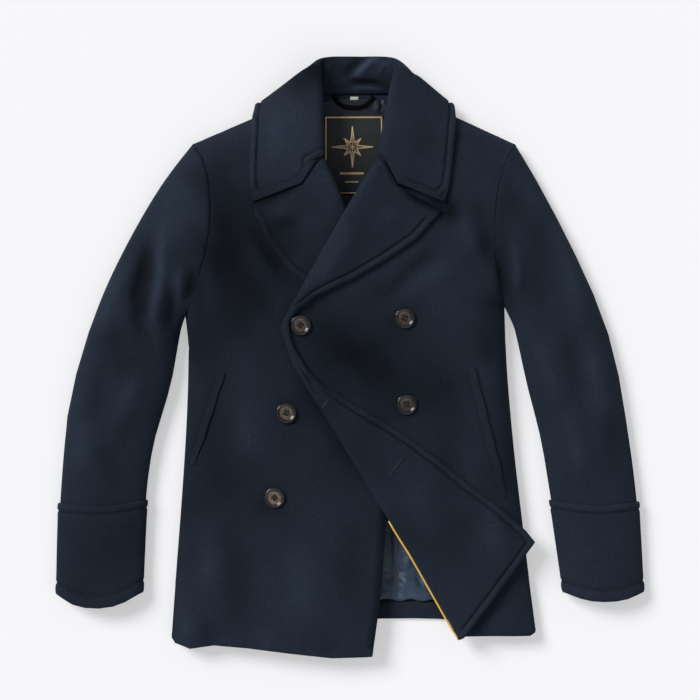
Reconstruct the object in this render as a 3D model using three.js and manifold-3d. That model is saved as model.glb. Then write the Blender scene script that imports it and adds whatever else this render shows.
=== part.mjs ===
import * as THREE from 'three';
import Module from 'manifold-3d';

// A wool pea coat laid on its back. Sizes are in millimetres.
// X runs to the wearer's left, Y to the collar, and Z up from the floor.
// Right and left are the wearer's, so right pieces have negative X.

// Cloth
const woolThickness = 2.2;
const underCollarThickness = 1.4;
const layerGap = 0.3;
const seamPullBack = 0.15;
const facingDepth = 2 * woolThickness + layerGap;

// How full the coat lies
const seamHeight = 14;
const chestFullness = 44;
const hemFullness = 27;
const sleeveFullness = 38;
const cuffFullness = 27;
const topRounding = 60;
const underRounding = 30;
const bodySwell = 0.05;
const cuffLift = 3;
const cuffLiftFrom = { y: [-197, -150], x: [262, 278] };
const neckLift = 5.8;
const neckLiftFrom = [240, 318];
const bodyFullnessFrom = [-400, 60];
const sleeveFullnessFrom = [-260, 60];
const armFrom = [190, 260];
const foldFade = 25;
const edgeFade = 40;
const leastFloorGap = 0.3;

// Folds of the fronts
const lapelBend = 5;
const hiddenBend = 2.2;
const flapBend = 4;
const leastBend = 0.8;
const edgeRest = 1;
const bendTightensFrom = [180, 240];

// How the fronts rise beside the left front's open edge, and sink below it and at their hems
const leftRaise = { height: 8.5, reach: 70, y: [-300, -150] };
const leftDroop = { height: 6, reach: 80, y: [-330, -200] };
const rightSink = { beside: 7, start: -40, below: 6, reach: 60 };
const rightDroop = { height: 8, reach: 80, y: [-300, -170] };

// Quilting of the back lining
const quiltSquare = 56;
const quiltLineX = 66;
const quiltLineY = -302;
const quiltSeamHeight = 1.6;
const quiltRise = 4;
const liningAboveBack = 3;
const quiltTop = 200;

// Small pieces
const buttonRadius = 14;
const buttonHeight = 4.6;
const buttonFoot = 11;
const buttonSide = { from: 1.6, to: 3.4 };
const buttonRim = 12;
const buttonDish = { radius: 9.4, edge: 2.6, middle: 2.3 };
const buttonHoleRadius = 1.2;
const buttonHoleSpacing = 4.6;
const pipingRadius = 1.5;
const weltWidth = 13;
const restGap = 0.9;

// Outlines read from the photograph, top to bottom
const shoulderTip = { right: [-222, 299], left: [230.5, 299] };
const armpit = { right: [-233, 61], left: [215.6, 70] };
const armholePoints = {
  right: [[-222, 299], [-208, 280], [-199.5, 254], [-195.5, 220], [-196.5, 176], [-203, 142],
    [-216.5, 99], [-233, 61]],
  left: [[230.5, 299], [216.5, 278], [208, 249], [202, 218], [200, 183], [200, 149],
    [205, 117], [215.6, 70]],
};
const sidePoints = {
  right: [[-233, 61], [-228, 24], [-228.5, -39], [-231, -100], [-238, -206], [-244.5, -290],
    [-252, -394]],
  left: [[215.6, 70], [217, 26], [219, -18], [226, -100], [231, -150], [242, -241],
    [252, -326], [260, -384]],
};
const sleeveOuterPoints = {
  right: [[-222, 299], [-243, 277], [-271, 235], [-308, 172], [-340, 108], [-358, 66],
    [-378, 4], [-395, -60], [-403, -130], [-408.5, -205]],
  left: [[230.5, 299], [245, 277], [268, 235], [301, 173], [332, 108], [350, 66],
    [370, 4], [382, -60], [393, -130], [402, -203]],
};
const sleeveInnerPoints = {
  right: [[-233, 61], [-238, 45], [-245, 3], [-253, -39], [-265, -80], [-277, -122],
    [-284, -164], [-288, -200]],
  left: [[215.6, 70], [228, 46], [238, 4], [247, -38], [258, -80], [268, -122],
    [275, -164], [281, -200]],
};
const cuffTopPoints = {
  right: [[-408.5, -205], [-350, -209], [-288, -200]],
  left: [[281, -200], [341, -208], [402, -203]],
};
const cuffOuterPoints = {
  right: [[-408.5, -205], [-410.5, -268], [-411.5, -333]],
  left: [[402, -203], [406, -268], [409, -330]],
};
const cuffInnerPoints = {
  right: [[-288, -200], [-291, -260], [-294, -330]],
  left: [[281, -200], [290, -262], [300, -330]],
};
const cuffHemPoints = {
  right: [[-411.5, -333], [-386, -348], [-354, -352], [-325, -347], [-294, -330]],
  left: [[300, -330], [328, -340], [356, -343], [384, -340], [409, -330]],
};
const backHemPoints = [[-252, -394], [-141, -375.5], [0, -367.5], [139, -367.5], [260, -384]];
const backNeckPoints = [[-73, 363], [-40, 367], [0, 368.5], [45, 368.5], [84, 366]];

// Half of the fronts' neckline, above the gorge
const necklinePoints = [[71, 348.5], [62, 327.5], [50, 301.5]];

// Roll line of each lapel, then the left front's fold or the right front's edge
const leftRollPoints = [[37, 278], [6, 230], [-17.5, 189], [-42, 147], [-64, 107], [-80, 79],
  [-91, 58], [-97, 37]];
const leftFoldPoints = [[-97, 37], [-91, 10], [-77, -16], [-61, -42], [-42, -71], [-18, -112],
  [8, -154], [30, -192], [52, -227], [79, -269], [106, -316], [137, -371], [151, -396]];
const rightRollPoints = [[-36, 278], [-27, 262], [-13, 228], [-5, 208], [32, 110], [67, 37]];
const rightEdgePoints = [[67, 37], [66, -20], [61, -102], [56, -165], [50, -225], [41, -341],
  [30, -420]];
const rightHemPoints = [[-252, -394], [-242, -405], [-218, -408], [-199, -404], [-139, -408],
  [-66, -417], [7, -423], [30, -420]];
const leftHemPoints = [[151, -396], [197, -391], [234, -391], [255, -390], [260, -384]];

// Free edges of the folded parts
const leftLapelEdgePoints = [[126, 204], [118, 184], [90, 164], [52, 138], [18, 117], [-16, 101], [-51, 85],
  [-72, 72], [-87, 57], [-97, 37]];
const rightLapelEdgePoints = [[-139, 213], [-130, 193], [-120, 172], [-98, 137], [-64, 102],
  [-15, 71], [34, 50], [67, 37]];
const flapEdgePoints = [[-97, 37], [-90, 14], [-76, -5], [-56, -28], [-28, -50], [7, -70],
  [56, -98], [95, -123], [115, -138], [165, -179], [216, -217], [243, -242], [257, -259]];
const flapHemPoints = [[257, -259], [245, -279], [214, -315], [181, -363], [151, -396]];

// Half of the collar, from the leaf's end to the middle of the back. Each row runs from the
// neck seam over the roll to the outer edge. "over" rows give Z above the front's cloth.
const collarShift = -3.5;
const collarShear = 0.066;
const collarShearStart = 216;
const collarRows = [
  { over: true, neck: [66.5, 241.5, 12], stand: [78, 237.2, 11.4], roll: [89, 233, 10.6],
    turn: [100, 228.8, 9.6], fall: [116, 222.7, 8], edge: [133.5, 216, 6.2] },
  { over: true, neck: [53.5, 263, 14], stand: [58, 261, 14.4], roll: [64, 259, 14.2],
    turn: [73, 256, 13.4], fall: [104, 246.5, 9.6], edge: [138, 236, 6.2] },
  { over: true, neck: [48.8, 270.9, 14.4], stand: [52.5, 271.6, 15], roll: [57.5, 271, 15.4],
    turn: [64, 269, 15], fall: [97, 259, 10.4], edge: [139.5, 249, 6.2] },
  { over: true, neck: [40, 280.8, -1], stand: [36.9, 281.2, 4.5], roll: [36.2, 280.7, 10],
    turn: [46, 279.5, 17.5], fall: [93, 272, 11], edge: [140.5, 262, 6.2] },
  { over: true, neck: [44.8, 302.5, -1], stand: [40, 303, 4], roll: [38.6, 303, 11],
    turn: [48, 302.5, 19.5], fall: [92, 297, 12.5], edge: [141.5, 290, 6.2] },
  { over: false, neck: [56, 331, 43], stand: [47, 331.8, 48], roll: [41.3, 332, 57],
    turn: [51, 331, 66], fall: [98, 325, 56], edge: [142, 315, 46] },
  { over: false, neck: [64.5, 353, 33], stand: [54, 356, 42], roll: [45, 362, 52],
    turn: [54, 360, 60], fall: [101, 352, 45], edge: [142.5, 337, 29] },
  { over: false, neck: [71, 370, 18], stand: [61, 384, 31], roll: [50.5, 401, 43],
    turn: [62, 408, 46], fall: [97, 385, 29], edge: [140.5, 352, 16] },
  { over: false, neck: [64, 370.5, 11.5], stand: [57, 388, 26], roll: [51, 413, 35],
    turn: [60, 417, 24], fall: [92, 377, 7], edge: [122, 342, 2] },
  { over: false, neck: [52, 370, 10.4], stand: [49, 390, 24], roll: [46, 420, 29],
    turn: [48, 417, 12], fall: [76, 372, 1.5], edge: [98, 332, 0.4] },
  { over: false, neck: [30, 369.8, 10.2], stand: [30, 391, 22], roll: [30, 421, 25],
    turn: [31, 417, 9], fall: [46, 370, 0.4], edge: [56, 325, 0.4] },
  { over: false, neck: [0, 369.4, 10.2], stand: [0, 391, 20], roll: [0, 421, 23],
    turn: [0, 417, 8], fall: [0, 370, 0.4], edge: [0, 320, 0.4] },
];
const collarAcross = [0, 0.2, 0.3, 0.4, 0.5, 0.6, 0.7, 0.8, 0.9, 1];

// Largest folds of the cloth: each is a soft ridge, or a trough where rise is negative
const softFolds = [
  { from: [-281, 185], to: [-291, 110], width: 15, rise: -6 },
  { from: [-291, 110], to: [-295, 55], width: 15, rise: -5 },
  { from: [-263, 125], to: [-268, 50], width: 14, rise: 4 },
  { from: [100, 110], to: [148, 215], width: 30, rise: 3 },
  { from: [-222, -410], to: [-214, -335], width: 13, rise: 4 },
];

// Seam stations: fine beside the seams at both ends
const armholeSteps = 10;
const armholeFractions = fractions(armholeSteps).map((step) => (1 - Math.cos(Math.PI * step)) / 2);
const sideFractions = [0, 0.105, 0.21, 0.315, 0.42, 0.525, 0.63, 0.735, 0.84, 0.955, 1];
const shoulderFractions = [0, 0.03, 0.11, 0.23, 0.39, 0.59, 0.8, 1];
const rollFractions = [0, 0.19, 0.38, 0.57, 0.76, 0.91, 1];
const armholeShare = 0.36;
const bodyRows = [
  ...armholeFractions.map((step) => step * armholeShare),
  ...sideFractions.slice(1).map((step) => armholeShare + step * (1 - armholeShare)),
];
const foldedFractions = [0, 0.19, 0.385, 0.69, 1];
const bendSteps = 4;
const neckSteps = 4;

function fractions(steps) {
  return Array.from({ length: steps + 1 }, (unused, index) => index / steps);
}

function smooth(value, from, to) {
  return THREE.MathUtils.smoothstep(value, from, to);
}

function splineThrough(points) {
  const corners = points.map(([x, y, z = 0]) => new THREE.Vector3(x, y, z));
  const spline = new THREE.CatmullRomCurve3(corners, false, 'centripetal');
  spline.arcLengthDivisions = 400;
  return spline;
}

function along(points, steps) {
  const spline = splineThrough(points);
  return steps.map((step) => spline.getPointAt(step));
}

function straight(from, to, steps) {
  return steps.map((step) => from.clone().lerp(to, step));
}

function plan(point) {
  return new THREE.Vector3(point[0], point[1], 0);
}

// A grid of points between four edges that share their corners
function patch(top, bottom, left, right, across, down) {
  return down.map((v, row) => across.map((u, column) => new THREE.Vector3()
    .addScaledVector(top[column], 1 - v)
    .addScaledVector(bottom[column], v)
    .addScaledVector(left[row], 1 - u)
    .addScaledVector(right[row], u)
    .addScaledVector(top[0], -(1 - u) * (1 - v))
    .addScaledVector(top.at(-1), -u * (1 - v))
    .addScaledVector(bottom[0], -(1 - u) * v)
    .addScaledVector(bottom.at(-1), -u * v)));
}

function lengthFractions(points) {
  const lengths = [0];
  points.slice(1).forEach((point, index) => {
    lengths.push(lengths[index] + point.distanceTo(points[index]));
  });
  return lengths.map((length) => length / lengths.at(-1));
}

// Where a line that only runs downwards lies at a given Y
function lineAt(points, y) {
  if (y >= points[0].y) {
    return points[0].x;
  }
  for (let index = 1; index < points.length; index += 1) {
    const upper = points[index - 1];
    const lower = points[index];
    if (y >= lower.y) {
      const share = (upper.y - y) / (upper.y - lower.y);
      return THREE.MathUtils.lerp(upper.x, lower.x, share);
    }
  }
  return points.at(-1).x;
}

// The closed edges of the laid coat
const edgeSamples = fractions(90);
const closedEdges = ['right', 'left'].flatMap((side) => {
  const neckPoint = side === 'right' ? backNeckPoints[0] : backNeckPoints.at(-1);
  return [
    [plan(neckPoint), plan(shoulderTip[side])],
    along(sleeveOuterPoints[side], edgeSamples),
    along(cuffOuterPoints[side], edgeSamples),
    along(sleeveInnerPoints[side], edgeSamples),
    along(cuffInnerPoints[side], edgeSamples),
    along(sidePoints[side], edgeSamples),
  ];
});

function distanceToLine(x, y, from, to) {
  const spanX = to.x - from.x;
  const spanY = to.y - from.y;
  const reach = (x - from.x) * spanX + (y - from.y) * spanY;
  const share = THREE.MathUtils.clamp(reach / (spanX * spanX + spanY * spanY), 0, 1);
  return Math.hypot(x - from.x - share * spanX, y - from.y - share * spanY);
}

function edgeDistance(x, y) {
  let nearest = Infinity;
  closedEdges.forEach((line) => {
    for (let index = 1; index < line.length; index += 1) {
      nearest = Math.min(nearest, distanceToLine(x, y, line[index - 1], line[index]));
    }
  });
  const onTheEdge = 0.6;
  return nearest < onTheEdge ? 0 : nearest;
}

// A quarter round that starts upright at the edge and ends level
function rounding(distance, width) {
  const left = 1 - Math.min(distance, width) / width;
  return Math.sqrt(1 - left * left);
}

function fullness(x, y) {
  const bodyShare = smooth(y, ...bodyFullnessFrom);
  const sleeveShare = smooth(y, ...sleeveFullnessFrom);
  const body = THREE.MathUtils.lerp(hemFullness, chestFullness, bodyShare);
  const sleeve = THREE.MathUtils.lerp(cuffFullness, sleeveFullness, sleeveShare);
  return THREE.MathUtils.lerp(body, sleeve, smooth(Math.abs(x), ...armFrom));
}

function foldHeight(x, y) {
  return softFolds.reduce((height, fold) => {
    const away = distanceToLine(x, y, plan(fold.from), plan(fold.to)) / fold.width;
    return height + fold.rise * Math.exp(-away * away);
  }, 0);
}

// Height of the upper cloth's outer face
function topHeight(x, y, leastDistance = 0) {
  const distance = Math.max(edgeDistance(x, y), leastDistance);
  const rise = rounding(distance, topRounding);
  const swell = bodySwell * Math.max(0, distance - topRounding);
  const folds = foldHeight(x, y) * Math.min(1, distance / foldFade);
  return seamHeight + (fullness(x, y) - seamHeight) * rise + swell + folds;
}

// Height of the under cloth's outer face
function underHeight(x, y) {
  const cuffShare = (1 - smooth(y, ...cuffLiftFrom.y)) * smooth(Math.abs(x), ...cuffLiftFrom.x);
  const cuff = cuffLift * cuffShare;
  const neck = neckLift * smooth(y, ...neckLiftFrom);
  const lift = cuff + neck;
  return lift + (seamHeight - lift) * (1 - rounding(edgeDistance(x, y), underRounding));
}

// The left front's open edge and the right front's, as X at a given Y
const leftBoundary = along([...leftRollPoints, ...leftFoldPoints.slice(1)], fractions(120));
const rightBoundary = along([...rightRollPoints, ...rightEdgePoints.slice(1)], fractions(120));

function insideLeftFront(x, y) {
  const slope = 0.8;
  return (x - lineAt(leftBoundary, y)) * slope;
}

function awayFromEdge(x, y) {
  return rounding(edgeDistance(x, y), edgeFade);
}

function leftFrontHeight(x, y, leastDistance) {
  const inside = insideLeftFront(x, y);
  const raiseShare = (1 - smooth(inside, 0, leftRaise.reach)) * smooth(y, ...leftRaise.y);
  const droopShare = (1 - smooth(inside, 0, leftDroop.reach)) * (1 - smooth(y, ...leftDroop.y));
  const raised = leftRaise.height * raiseShare;
  const droop = leftDroop.height * droopShare;
  return topHeight(x, y, leastDistance) + (raised - droop) * awayFromEdge(x, y);
}

// The right front sinks where it passes under the left one
function rightFrontHeight(x, y, leastDistance) {
  const inside = insideLeftFront(x, y);
  const besideEdge = rightSink.beside * smooth(inside, rightSink.start, 0);
  const sink = besideEdge + rightSink.below * smooth(inside, 0, rightSink.reach);
  const fromEdge = lineAt(rightBoundary, y) - x;
  const nearEdge = 1 - smooth(fromEdge, 0, rightDroop.reach);
  const droop = rightDroop.height * nearEdge * (1 - smooth(y, ...rightDroop.y));
  return topHeight(x, y, leastDistance) - (sink + droop) * awayFromEdge(x, y);
}

// A sheet of cloth: shared points, and cells whose corners run anticlockwise from outside
class Sheet {
  constructor() {
    this.points = [];
    this.cells = [];
    this.indices = new Map();
  }

  indexOf(point) {
    const key = positionKey(point);
    if (!this.indices.has(key)) {
      this.indices.set(key, this.points.length);
      this.points.push(point.clone());
    }
    return this.indices.get(key);
  }

  addGrid(grid, flipped = false, name = 'main') {
    for (let row = 0; row + 1 < grid.length; row += 1) {
      for (let column = 0; column + 1 < grid[row].length; column += 1) {
        const corners = [
          grid[row][column],
          grid[row + 1][column],
          grid[row + 1][column + 1],
          grid[row][column + 1],
        ].map((point) => this.indexOf(point));
        if (flipped) {
          corners.reverse();
        }
        const distinct = corners.filter((corner, place) => corners.indexOf(corner) === place);
        if (distinct.length > 2) {
          this.cells.push({ corners: distinct, row, column, name });
        }
      }
    }
  }
}

// Points within a hundredth or two of a millimetre count as one
function positionKey(point) {
  return [point.x, point.y, point.z].map((value) => Math.round(value * 43 + 0.37)).join(' ');
}

function cellNormal(sheet, cell) {
  const normal = new THREE.Vector3();
  const corners = cell.corners.map((corner) => sheet.points[corner]);
  corners.forEach((corner, place) => {
    normal.add(corner.clone().cross(corners[(place + 1) % corners.length]));
  });
  return normal;
}

// Sheets that meet at a seam share their normals there, so their walls line up
function pointNormals(sheets) {
  const sums = new Map();
  sheets.forEach((sheet) => sheet.cells.forEach((cell) => {
    const normal = cellNormal(sheet, cell).normalize();
    const corners = cell.corners.map((corner) => sheet.points[corner]);
    corners.forEach((corner, place) => {
      const next = corners[(place + 1) % corners.length].clone().sub(corner);
      const previous = corners.at(place - 1).clone().sub(corner);
      const key = positionKey(corner);
      const sum = sums.get(key) ?? new THREE.Vector3();
      sum.addScaledVector(normal, next.angleTo(previous));
      sums.set(key, sum);
    });
  }));
  sums.forEach((sum) => sum.normalize());
  return sums;
}

// Beside the armpits the cloth turns sharply, so its normals there are kept facing up
const armpitReach = 14;
const armpitTilt = 0.5;
function steadyArmpits(normals, sheets) {
  sheets.forEach((sheet) => sheet.points.forEach((point) => {
    const close = sides.some((name) => plan(armpit[name]).setZ(point.z).distanceTo(point) < armpitReach);
    if (close && point.z > seamHeight + 1) {
      const normal = normals.get(positionKey(point));
      normal.z = Math.max(normal.z, armpitTilt);
      normal.normalize();
    }
  }));
}

function openEdges(cells) {
  const edges = new Map();
  cells.forEach(({ corners }) => corners.forEach((corner, place) => {
    const next = corners[(place + 1) % corners.length];
    edges.set(`${corner} ${next}`, [corner, next]);
  }));
  return [...edges.values()].filter(([from, to]) => !edges.has(`${to} ${from}`));
}

// A closed wall between two distances below a sheet's outer face
function wall(sheet, normals, outerDepth, innerDepth, cells = sheet.cells) {
  const edges = openEdges(cells);
  const inward = sheet.points.map(() => new THREE.Vector3());
  edges.forEach(([from, to]) => {
    const normal = normals.get(positionKey(sheet.points[from]));
    const run = sheet.points[to].clone().sub(sheet.points[from]);
    const into = normal.clone().cross(run).normalize();
    inward[from].add(into);
    inward[to].add(into);
  });
  const used = [...new Set(cells.flatMap((cell) => cell.corners))];
  const places = new Map(used.map((corner, place) => [corner, place]));
  const layer = (depth) => used.map((corner) => {
    const point = sheet.points[corner];
    const shift = inward[corner].clone();
    if (shift.length() > 0) {
      const spread = Math.max(0.5, shift.length() / 2);
      shift.normalize().multiplyScalar(seamPullBack / spread);
    }
    return point.clone().addScaledVector(normals.get(positionKey(point)), -depth).add(shift);
  });
  const points = [...layer(outerDepth), ...layer(innerDepth)];
  const count = used.length;
  const triangles = [];
  cells.forEach(({ corners }) => {
    split(corners, sheet.points).forEach((triangle) => {
      const [a, b, c] = triangle.map((corner) => places.get(corner));
      triangles.push([a, b, c]);
      triangles.push([c + count, b + count, a + count]);
    });
  });
  edges.forEach(([from, to]) => {
    const a = places.get(from);
    const b = places.get(to);
    const startsHere = positionKey(sheet.points[from]) < positionKey(sheet.points[to]);
    const rim = startsHere
      ? [[b, a, b + count], [a, a + count, b + count]]
      : [[b, a, a + count], [b, a + count, b + count]];
    triangles.push(...rim);
  });
  return geometryOf(points, triangles);
}

function split(corners, points) {
  if (corners.length === 3) {
    return [corners];
  }
  const [a, b, c, d] = corners;
  const first = points[a].distanceTo(points[c]);
  const second = points[b].distanceTo(points[d]);
  return first <= second ? [[a, b, c], [a, c, d]] : [[a, b, d], [b, c, d]];
}

function geometryOf(points, triangles) {
  const geometry = new THREE.BufferGeometry();
  const positions = points.flatMap((point) => [point.x, point.y, point.z]);
  geometry.setAttribute('position', new THREE.Float32BufferAttribute(positions, 3));
  geometry.setIndex(triangles.flat());
  geometry.computeVertexNormals();
  return geometry;
}

function raise(grid, height) {
  return grid.map((row) => row.map((point) => {
    return new THREE.Vector3(point.x, point.y, height(point.x, point.y));
  }));
}

// Seams that two pieces share
const sides = ['right', 'left'];
const armhole = {};
const side = {};
const bodyEdge = {};
sides.forEach((name) => {
  armhole[name] = along(armholePoints[name], armholeFractions);
  side[name] = along(sidePoints[name], sideFractions);
  bodyEdge[name] = [...armhole[name], ...side[name].slice(1)];
});
const neckPointRight = plan(backNeckPoints[0]);
const neckPointLeft = plan(backNeckPoints.at(-1));
const shoulder = {
  right: straight(plan(shoulderTip.right), neckPointRight, shoulderFractions),
  left: straight(plan(shoulderTip.left), neckPointLeft, shoulderFractions),
};

function collarPlan(sign, x, y) {
  return [x * sign + collarShift + collarShear * (y - collarShearStart), y];
}

// Neckline of a front, from the shoulder seam down to the gorge
function neckline(sign, neckPoint) {
  return [neckPoint, ...necklinePoints.map(([x, y]) => plan(collarPlan(sign, x, y)))];
}

// Back
const backTop = [
  ...shoulder.right,
  ...along(backNeckPoints, fractions(neckSteps)).slice(1, -1),
  ...shoulder.left.slice().reverse(),
];
const backAcross = lengthFractions(backTop);
const backHem = along(backHemPoints, backAcross);
const backPlan = patch(backTop, backHem, bodyEdge.right, bodyEdge.left, backAcross, bodyRows);
const backGrid = raise(backPlan, underHeight);
const flatBack = new Sheet();
flatBack.addGrid(backGrid, true);
const flatBackNormals = pointNormals([flatBack]);

// The back's hem is turned up inside
const hemBend = woolThickness + layerGap;
const hemBendSteps = 3;
const turnedHem = fractions(hemBendSteps).slice(1).map((step) => backGrid.at(-1).map((point) => {
  const normal = flatBackNormals.get(positionKey(point));
  const angle = Math.PI * step;
  const out = new THREE.Vector3(0, -1, 0);
  return point.clone()
    .addScaledVector(normal, hemBend * (Math.cos(angle) - 1))
    .addScaledVector(out, hemBend * Math.sin(angle));
}));
const turnedTop = backGrid.at(-2).map((point) => {
  return point.clone().addScaledVector(flatBackNormals.get(positionKey(point)), -2 * hemBend);
});
const backSheet = new Sheet();
backSheet.addGrid(backGrid, true);
const turnedInset = 3;
const turnedRows = [backGrid.at(-1), ...turnedHem, turnedTop];
backSheet.addGrid(turnedRows.map((row) => row.slice(turnedInset, -turnedInset)), true, 'hem');

// Fronts: the main part runs from the fold or edge to the side
function foldLine(points, edge, outwardSign, bend) {
  return points.map((point, row) => {
    const before = points[Math.max(0, row - 1)];
    const after = points[Math.min(points.length - 1, row + 1)];
    const run = after.clone().sub(before).normalize();
    const outward = new THREE.Vector3(-run.y, run.x, 0).multiplyScalar(outwardSign);
    const width = point.distanceTo(edge[row]);
    const radius = THREE.MathUtils.clamp((width - facingDepth) / 4, leastBend, bend(row));
    const centre = point.clone().addScaledVector(outward, -(facingDepth + radius));
    return { centre, outward, radius };
  });
}

const breakRow = armholeSteps;
const lapelRows = rollFractions.length - 1;
const leftRoll = along(leftRollPoints, rollFractions);
const leftFold = along(leftFoldPoints, sideFractions);
const leftFront = [...leftRoll, ...leftFold.slice(1)];
const leftFree = [
  ...along(leftLapelEdgePoints, rollFractions),
  ...along(flapEdgePoints, sideFractions).slice(1),
];
const rightRoll = along(rightRollPoints, rollFractions);
const rightEdge = along(rightEdgePoints, sideFractions).slice(1);
const rightFree = along(rightLapelEdgePoints, rollFractions);

const leftLine = foldLine(leftFront, leftFree, -1, (row) => {
  return row < lapelRows ? lapelBend : flapBend;
});
const rightLine = foldLine(rightRoll, rightFree, 1, (row) => {
  return THREE.MathUtils.lerp(lapelBend, hiddenBend, 1 - smooth(rightRoll[row].y, ...bendTightensFrom));
});

// The folded part keeps at least a narrow strip beside the break
const leastStrip = 2.6;
function keepStrip(line, free) {
  return free.map((point, row) => {
    const { centre, outward, radius } = line[row];
    const reach = point.clone().sub(centre).dot(outward);
    const short = reach + leastStrip;
    if (short > 0 || radius <= leastBend) {
      return point.clone().addScaledVector(outward, -Math.max(0, short));
    }
    return point;
  });
}

function bendPoints({ centre, outward, radius }, height) {
  const base = height(centre.x, centre.y);
  return fractions(bendSteps).map((step) => {
    const angle = Math.PI * (step - 0.5);
    const point = centre.clone().addScaledVector(outward, radius * Math.cos(angle));
    point.z = base + radius * (1 + Math.sin(angle));
    return point;
  });
}

// Folded layer over the main part: full height at the bend, resting at the free edge
function foldedGrid(line, free, gorgeCorner, height, hold, overlapSide) {
  const centres = line.map(({ centre }) => centre);
  const topEdge = gorgeCorner
    ? kinked(centres[0], gorgeCorner, free[0])
    : straight(centres[0], free[0], foldedFractions);
  const bottomEdge = straight(centres.at(-1), free.at(-1), foldedFractions);
  const downShare = fractions(line.length - 1);
  const flat = patch(topEdge, bottomEdge, centres, free, foldedFractions, downShare);
  return flat.map((row, rowIndex) => row.map((point, column) => {
    const share = foldedFractions[column];
    const { radius } = line[rowIndex];
    const bendHeight = 2 * radius;
    const settle = bendHeight * (1 - smooth(share, hold, 1)) + edgeRest * smooth(share, hold, 1);
    const base = column === 0
      ? height(line[rowIndex].centre.x, line[rowIndex].centre.y)
      : height(point.x, point.y, overlapSide);
    return new THREE.Vector3(point.x, point.y, base + Math.max(settle, edgeRest));
  }));
}

function kinked(from, corner, to) {
  const cornerShare = foldedFractions[2];
  return foldedFractions.map((share) => {
    if (share <= cornerShare) {
      return from.clone().lerp(corner, share / cornerShare);
    }
    return corner.clone().lerp(to, (share - cornerShare) / (1 - cornerShare));
  });
}

function joinRows(...grids) {
  return grids[0].map((unused, row) => grids.flatMap((grid, place) => {
    return place === 0 ? grid[row] : grid[row].slice(1);
  }));
}

const leftEdgeMoved = keepStrip(leftLine, leftFree);
const rightEdgeMoved = keepStrip(rightLine, rightFree);
const notchRight = plan(collarPlan(-1, 66, 239.5));
const notchLeft = plan(collarPlan(1, 66, 238));

const leftBend = leftLine.map((station) => bendPoints(station, leftFrontHeight));
const rightBend = rightLine.map((station) => bendPoints(station, rightFrontHeight));
const flapHold = 0.5;
const lapelHold = 0.05;
const flapOverSide = 24;
const leftLapelFolded = foldedGrid(
  leftLine.slice(0, lapelRows + 1),
  leftEdgeMoved.slice(0, lapelRows + 1),
  notchLeft,
  leftFrontHeight,
  lapelHold,
  0,
);
const flapFolded = foldedGrid(
  leftLine.slice(lapelRows),
  leftEdgeMoved.slice(lapelRows),
  null,
  leftFrontHeight,
  flapHold,
  flapOverSide,
);
flapFolded[0] = leftLapelFolded.at(-1);
const leftFolded = [...leftLapelFolded, ...flapFolded.slice(1)];
const rightFolded = foldedGrid(
  rightLine,
  rightEdgeMoved,
  notchRight,
  rightFrontHeight,
  lapelHold,
  0,
);

const leftStart = [
  ...neckline(1, neckPointLeft),
  ...leftLine.map(({ centre }) => centre),
];
const leftTop = shoulder.left.slice().reverse();
const leftAcross = lengthFractions(leftTop);
const leftHem = along(
  [[leftStart.at(-1).x, leftStart.at(-1).y], ...leftHemPoints.slice(1)],
  leftAcross,
);
const leftPlan = patch(leftTop, leftHem, leftStart, bodyEdge.left, leftAcross, bodyRows);
const leftSheet = new Sheet();
leftSheet.addGrid(raise(leftPlan, leftFrontHeight));
const leftFoldedLastFirst = leftFolded.map((row) => row.slice().reverse());
const leftBendTopFirst = leftBend.map((row) => row.slice().reverse());
leftSheet.addGrid(joinRows(leftFoldedLastFirst, leftBendTopFirst), false, 'folded');

const rightStart = [
  ...neckline(-1, neckPointRight),
  ...rightLine.map(({ centre }) => centre),
  ...rightEdge,
];
const rightAcross = lengthFractions(shoulder.right);
const rightHem = along(rightHemPoints, rightAcross);
const rightPlan = patch(
  shoulder.right,
  rightHem,
  bodyEdge.right,
  rightStart,
  rightAcross,
  bodyRows,
);
const rightSheet = new Sheet();
rightSheet.addGrid(raise(rightPlan, rightFrontHeight));
rightSheet.addGrid(joinRows(rightBend, rightFolded), false, 'folded');

// Sleeves: rows run down the arm, columns from the outer to the inner edge
const sleeveRows = 9;
const cuffRows = 3;
const sleeveSheets = {};
sides.forEach((name) => {
  const downSleeve = fractions(sleeveRows);
  const downCuff = fractions(cuffRows);
  const outer = along(sleeveOuterPoints[name], downSleeve);
  const inner = along(sleeveInnerPoints[name], downSleeve);
  const cuffOuter = along(cuffOuterPoints[name], downCuff);
  const cuffInner = along(cuffInnerPoints[name], downCuff);
  const isRight = name === 'right';
  const top = isRight ? armhole[name] : armhole[name].slice().reverse();
  const across = armholeFractions;
  const cuffTop = along(cuffTopPoints[name], across);
  const hem = along(cuffHemPoints[name], across);
  const [first, second] = isRight ? [outer, inner] : [inner, outer];
  const [cuffFirst, cuffSecond] = isRight ? [cuffOuter, cuffInner] : [cuffInner, cuffOuter];
  const armPlan = patch(top, cuffTop, first, second, across, downSleeve);
  const cuffPlan = patch(cuffTop, hem, cuffFirst, cuffSecond, across, downCuff);
  const wholePlan = [...armPlan, ...cuffPlan.slice(1)];
  const upper = new Sheet();
  upper.addGrid(raise(wholePlan, topHeight));
  const under = new Sheet();
  under.addGrid(raise(wholePlan, underHeight), true);
  sleeveSheets[name] = { upper, under, plan: wholePlan };
});

const shellSheets = [
  backSheet,
  leftSheet,
  rightSheet,
  ...sides.flatMap((name) => [sleeveSheets[name].upper, sleeveSheets[name].under]),
];
const shellNormals = pointNormals(shellSheets);
steadyArmpits(shellNormals, shellSheets);

const coat = new THREE.Group();
coat.name = 'pea_coat';
const content = new THREE.Group();

const wool = { colour: '#262c37', roughness: 0.95 };
const satin = { colour: '#414d5c', roughness: 0.45 };
const gold = { colour: '#b8862f', roughness: 0.4 };
const horn = { colour: '#3a322a', roughness: 0.35 };
const woven = { colour: '#2b3242', roughness: 0.6 };

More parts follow.
